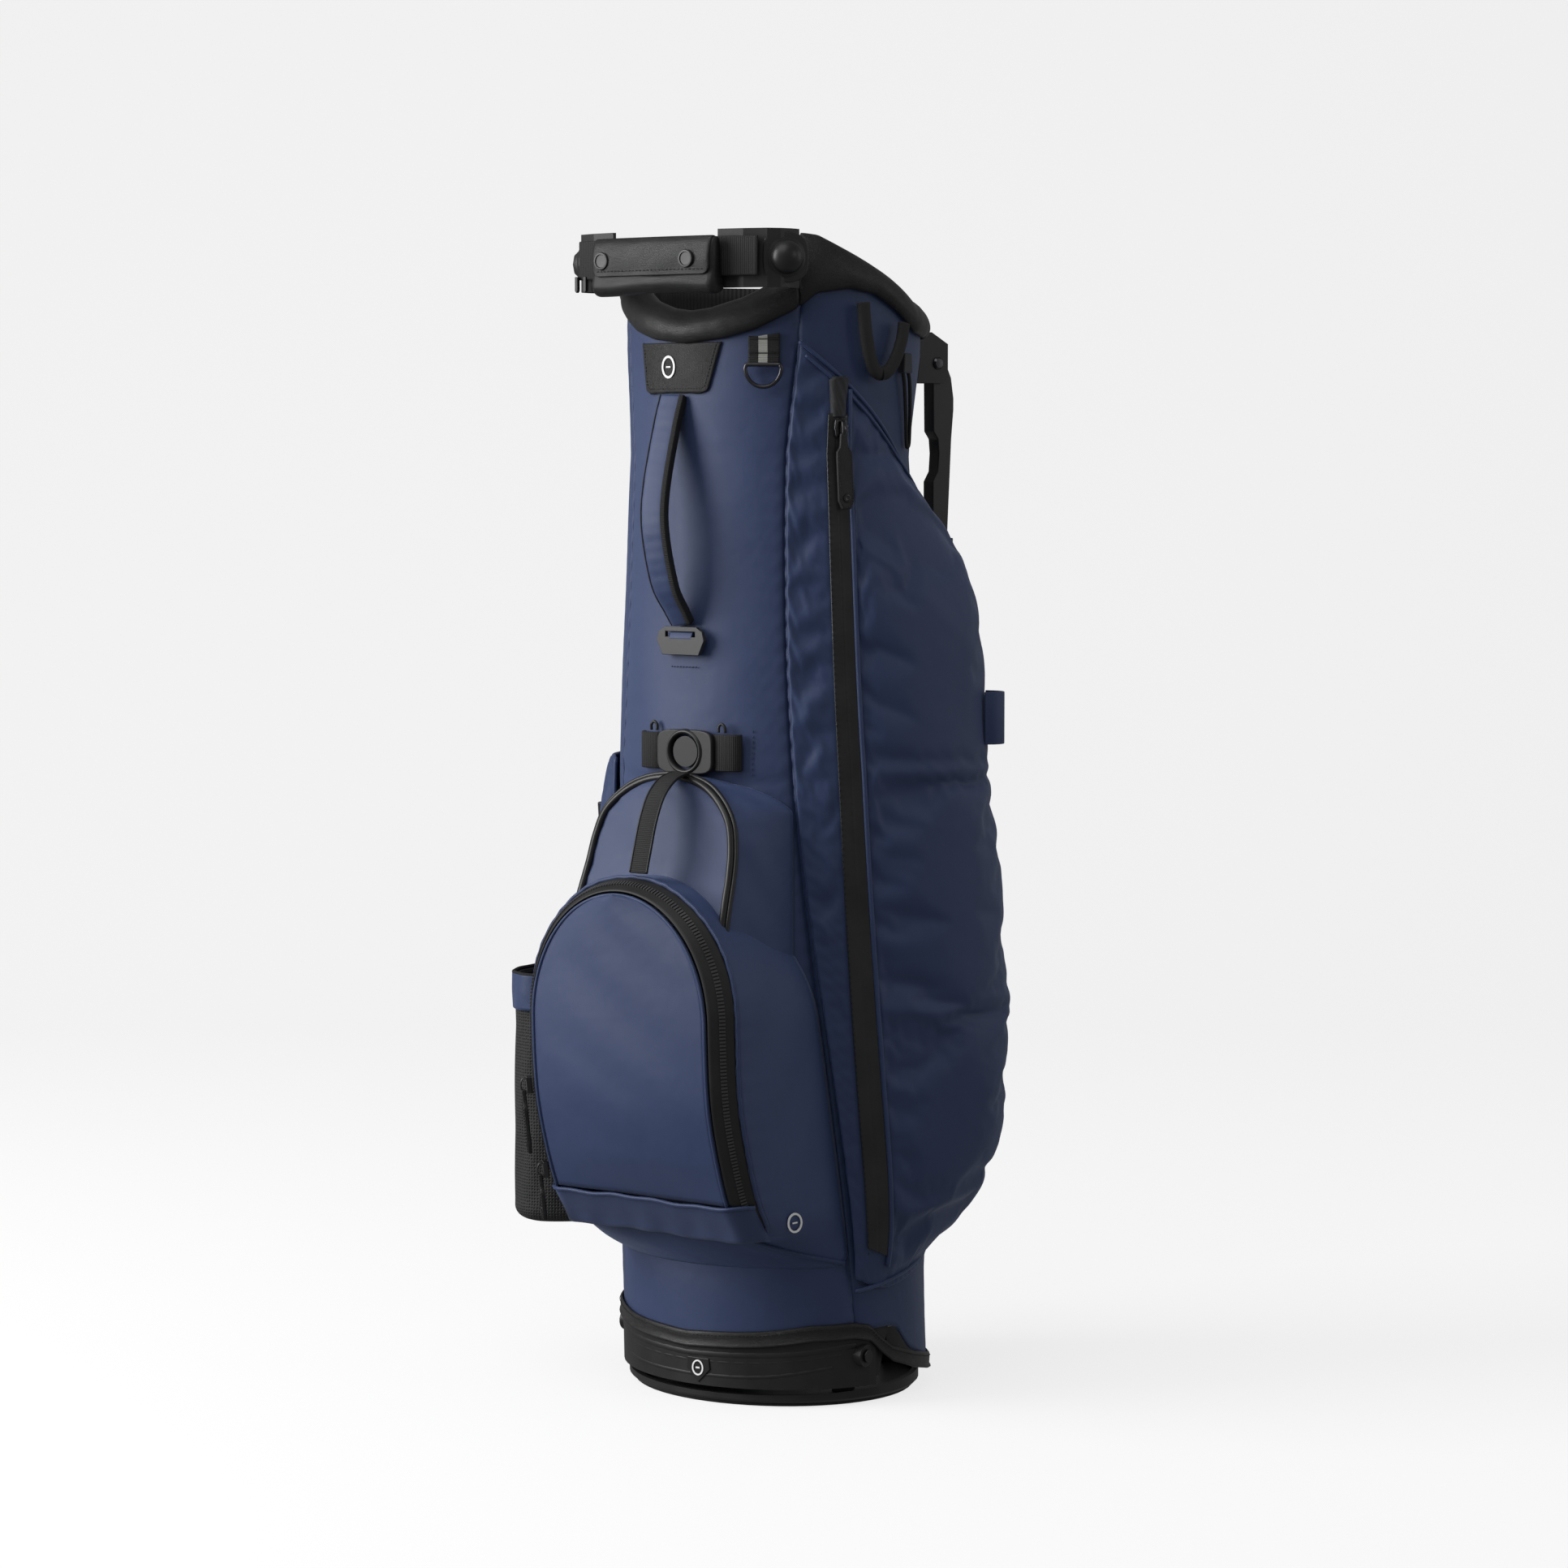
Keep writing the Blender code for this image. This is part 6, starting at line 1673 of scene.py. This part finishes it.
# ---- Pull loop of the front pockets ----------------------------------------------------------------
# A band of ribbed tape with corded edges comes over the top of the upper pocket and is sewn in above the zip.
loop = curve_through([(0.009, y, z) for y, z in (
    (-0.1285, 0.4790), (-0.1345, 0.4785), (-0.1460, 0.4745), (-0.1580, 0.4640), (-0.1670, 0.4470),
    (-0.1735, 0.4270),
    (-0.1790, 0.4085))], 90)
place_on(
    sweep(
        "pull_tape", loop, strip(0.0165, 0.0020),
        webbing_paint("ribbed_tape", (0.0100, 0.0100, 0.0105), 0.0014), side=(1, 0, 0)
    ),
    "bag", "black_webbing", "pull_loop"
)
for side in (-1, 1):
    edge = [p + Vector((side * 0.0078, -0.0008, 0.0006)) for p in loop]
    place_on(
        sweep(f"pull_tape_edge_{(side + 1) // 2}", edge, circle(0.0007, 8), gloss_piping), "bag",
        "black_webbing"
    )

# ---- Loops, towel hanger and elastic cord ----------------------------------------------------------
# A flat loop of navy cloth stands behind the clothing pocket. A soft black loop for a towel hangs under the
# right cheek, and beside it a thin elastic cord comes out of a sewn tab.
line = [
    coat_at(a, 0.517, out)
    for a, out in ((112, 0.0004), (113.5, 0.0080), (116.5, 0.0120), (119.5, 0.0080), (121, 0.0004))
]
rear_loop = sweep(
    "rear_cloth_loop", curve_through(line, 50), strip(0.0400, 0.0016), painted_shade_side_cloth, side=(0, 0, 1)
)
place_on(rear_loop, "bag", "navy_side_cloth")
hanger = curve_through([
    wall(a, z + collar_low_z, out) for a, z, out in (
        (68, 0.0300, 0.0090), (69, 0.006, 0.0100), (72, -0.016, 0.0100), (77, -0.0225, 0.0100),
        (82, -0.015, 0.0100),
        (86, 0.001, 0.0100), (88, 0.0150, 0.0095))
], 110)
velour = liner_paint("velour_tape", 700.0)
for n, p in enumerate(hanger):
    p.z += 0.0004 * ripple(n * 0.4, 1)
section = [
    (0.0052 * math.copysign(abs(math.cos(t)) ** 0.8, math.cos(t)), 0.0036 * math.sin(t))
    for t in np.linspace(0, 2 * math.pi, 24, endpoint=False)
]
place_on(
    sweep(
        "towel_hanger", hanger, section, velour,
        side=[(p - Vector((0, 0, p.z))).cross(Vector((0, 0, 1))).normalized() for p in hanger]
    ),
    "bag", "black_webbing", "towel_loop"
)
cord_line = curve_through([
    wall(a, z + collar_low_z, out) for a, z, out in (
        (91.5, -0.0180, 0.0045), (94, -0.0300, 0.0048), (98.5, -0.0520, 0.0040), (103, -0.0740, 0.0036),
        (105, -0.0765, 0.0036),
        (106, -0.0720, 0.0036), (102.5, -0.0500, 0.0040), (98, -0.0280, 0.0048), (95.2, -0.0180, 0.0045))
], 160)
elastic = webbing_paint("elastic_cord", (0.0085, 0.0085, 0.0090), 0.0009)
cord = sweep("elastic_cord", cord_line, circle(0.0014, 12), elastic)
place_on(cord, "bag", "cord", "shock_cord")
middle = wall(93.4, collar_low_z - 0.0150, 0.0046)
facing = Vector((math.sin(math.radians(93.4)), -math.cos(math.radians(93.4)), 0))
outline = [(-0.0062, -0.0065), (0.0062, -0.0065), (0.0052, 0.0085), (-0.0052, 0.0085)]
tab = plate(
    "cord_tab", outline, middle - facing * 0.0034, Vector((-facing.y, facing.x, 0)), Vector((0, 0, 1)),
    0.0062, soft_black, 0.0012
)
place_on(tab, "bag", "black_webbing")

# ---- Boot ------------------------------------------------------------------------------------------
# A moulded shell round the front of the base has a ridge, two shallow creases and a badge. A stitched band
# of synthetic leather covers the seam between it and the cloth; the foot is screwed to bosses at its sides.
rows = []
for angle in np.linspace(-142, 142, 300):
    top = between(BOOT_TRIM, half_turn(angle))
    lip = 0.0006 * ripple(angle * 0.12, 2)
    section = (
        (0.0006, top - 0.0115), (0.0024, top - 0.0126), (0.0036, top - 0.0118), (0.0033, top - 0.0104),
        (0.0024, top - 0.0096),
        (0.0027, top - 0.0050), (0.0025, top - 0.0012), (0.0014, top + 0.0002), (0.0006, top - 0.0008),
    )
    ring = []
    for out, z in section:
        point = wall(angle, max(0.030, z), out)
        ring.append(Vector((point.x, point.y, z + lip * 0.3)))
    rows.append(ring)
trim = sealed(sheet_mesh("boot_trim_band", rows, rim_leather, round_trip=True))
place_on(trim, "bag", "black_leather", "boot_trim")
sewn = [wall(a, between(BOOT_TRIM, half_turn(a)) - 0.0030, 0.0030) for a in np.linspace(-141, 141, 280)]
ways = [Vector((p.x, p.y, 0)).normalized() for p in sewn]
place_on(
    row_of("boot_trim_stitches", "stitch", [sewn], [ways], black_thread, 0.0032, 0.0022, 0.0007, 0.0006),
    "bag", "black_leather",
)
softened("boot_shell", ["front_shell"], moulded, "bag", "black_plastic", 0.0008, 32, 3)
softened("boot_inner_cup", ["boot_cup"], moulded, "bag", "black_plastic", 0.0006, 32, 2)
softened("club_floor", ["well_floor"], moulded, "bag", "black_plastic", 0.0006, 32, 2)
for n, (start, end, levels, size) in enumerate((
    (-72, 66, ((0, 0.0385), (40, 0.0415), (60, 0.0455), (72, 0.0475)), 0.0016),
    (-62, 60, ((0, 0.0330), (30, 0.0345), (60, 0.0400)), 0.0009),
    (-50, 56, ((0, 0.0225), (30, 0.0240), (60, 0.0320)), 0.0009),
)):
    line = [
        wall(a, 0.03, 0.0004) * Vector((1, 1, 0)) + Vector((0, 0, eased(levels, abs(a))))
        for a in np.linspace(start, end, 120)
    ]
    crease = sweep(
        f"shell_ridge_{n}", line, [(x * 1.6, y * 0.7) for x, y in circle(size, 12)], moulded, side=(0, 0, 1)
    )
    place_on(crease, "bag", "black_plastic")
at = wall(5, 0.027, 0.0003)
facing = Vector((math.sin(math.radians(5)), -math.cos(math.radians(5)), 0))
across = Vector((-facing.y, facing.x, 0))
shield = [(-0.0095, 0.0085), (0.0095, 0.0085), (0.0105, 0.0), (0.0, -0.0105), (-0.0105, 0.0)]
place_on(
    plate("boot_badge", shield, at, across, Vector((0, 0, 1)), 0.0014, smooth_plastic, 0.0006), "bag",
    "black_plastic"
)
mark("boot_mark", at + facing * 0.0016 + Vector((0, 0, 0.0008)), across, Vector((0, 0, 1)), 0.0120)
column = min(
    range(RINGS), key=lambda i: abs(pocket_side[7][i].z - 0.149) + (9 if pocket_side[7][i].x < 0.08 else 0)
)
at = pocket_side[7][column]
across = (pocket_side[10][column] - pocket_side[4][column]).normalized()
up = (pocket_side[7][column - 3] - pocket_side[7][column + 3]).normalized()
mark("pocket_mark", at + across.cross(up) * 0.0006, across, up, 0.0185)
for side, word in ((1, "right"), (-1, "left")):
    softened(f"hinge_screw_{word}", [f"pivot_screw_{word}"], gunmetal, "bag", "black_metal", 0.0004, 30, 2)

# ---- Tilting foot ----------------------------------------------------------------------------------
# A moulded tray hinged at the sides of the boot, on a thin sole of rubber with a fine grain.
softened("foot_tray", ["foot_plate"], moulded, "foot", "black_plastic", 0.0007, 30, 3)
rubber = plain_paint("sole_rubber", (0.009, 0.009, 0.009), 0.72, 1200.0, 0.00012)
softened("foot_rubber", ["foot_sole"], rubber, "foot", "rubber", 0.0005, 30, 2)

# ---- Stand -----------------------------------------------------------------------------------------
# A moulded bracket on the back of the trunk carries two long hinge knuckles. Each knuckle holds an anodised
# tube with a rubber shoe, and a thin steel push rod comes down from it to the foot.
softened("stand_holder", ["stand_bracket"], moulded, "bag", "black_plastic", 0.0008, 30, 3)
anodised = plain_paint("anodised_tube", (0.020, 0.021, 0.023), 0.30, 500.0, 0.00001, metal=1.0)
steel = plain_paint("coated_steel", (0.022, 0.022, 0.024), 0.28, 500.0, 0.00001, metal=1.0)
up = Vector((0, 0, 1))
for side, word in ((1, "right"), (-1, "left")):
    splay = math.radians(15) * side
    pivot = Vector((side * 0.055, 0.128, collar_low_z - 0.0115))
    axle = Vector((math.cos(splay), -math.sin(splay), 0))
    outwards = Vector((math.sin(splay), math.cos(splay), 0))
    pin = spun(
        f"axle_{word}",
        [(0.0, -0.0120), (0.0036, -0.0118), (0.0048, -0.0104), (0.0048, -0.0100), (0.0030, -0.0100),
         (0.0030, 0.0100),
         (0.0048, 0.0100), (0.0048, 0.0104), (0.0036, 0.0118), (0.0, 0.0120)],
        pivot, axle, gunmetal,
    )
    place_on(pin, "bag", "black_metal", f"stand_axle_{word}")
    softened(
        f"knuckle_{word}", [f"leg_knuckle_{word}"], smooth_plastic, f"leg_{word}", "black_plastic", 0.0016,
        28, 4
    )
    top = pivot + outwards * 0.006 - up * 0.1354
    tip = Vector((side * 0.0445, 0.1185, pivot.z - 0.697))
    down, long = (tip - top).normalized(), (tip - top).length
    tube = spun(
        f"tube_{word}",
        [(0.0, 0.0), (0.0060, 0.0), (0.0064, 0.0004)] + [
            (0.0064, d) for d in np.linspace(0.01, long - 0.031, 24)
        ] + [(0.0060, long - 0.0302), (0.0, long - 0.0302)],
        top, down, anodised,
    )
    place_on(tube, f"leg_{word}", "leg_alloy", f"leg_tube_{word}")
    shoe = spun(
        f"shoe_{word}",
        [(0.0, 0.0), (0.0072, 0.0), (0.0078, 0.0006), (0.0084, 0.0040), (0.0084, 0.0080), (0.0079, 0.0085),
         (0.0079, 0.0095),
         (0.0085, 0.0100), (0.0085, 0.0140), (0.0080, 0.0145), (0.0080, 0.0155), (0.0085, 0.0160),
         (0.0084, 0.0200),
         (0.0076, 0.0250), (0.0058, 0.0285), (0.0, 0.0294)],
        top + down * (long - 0.0296), down, rubber,
    )
    place_on(shoe, f"leg_{word}", "rubber", f"leg_shoe_{word}")
    lateral = side * (0.006 + 0.0025 + 0.0008 + 0.001)
    high = pivot + axle * lateral + outwards * 0.012 - up * 0.140
    beside = pivot + axle * lateral
    low = Vector((*(beside + outwards * ((0.108 - beside.y) / outwards.y)).xy, 0.030))
    slope, reach = (low - high).normalized(), (low - high).length
    rod = spun(
        f"rod_{word}",
        [(0.0, -0.004), (0.0022, -0.004), (0.0025, -0.0036)] + [
            (0.0025, d) for d in np.linspace(0.002, reach - 0.001, 24)
        ] + [(0.0021, reach), (0.0, reach)],
        high, slope, steel,
    )
    place_on(rod, f"rod_{word}", "black_metal", f"push_rod_{word}")
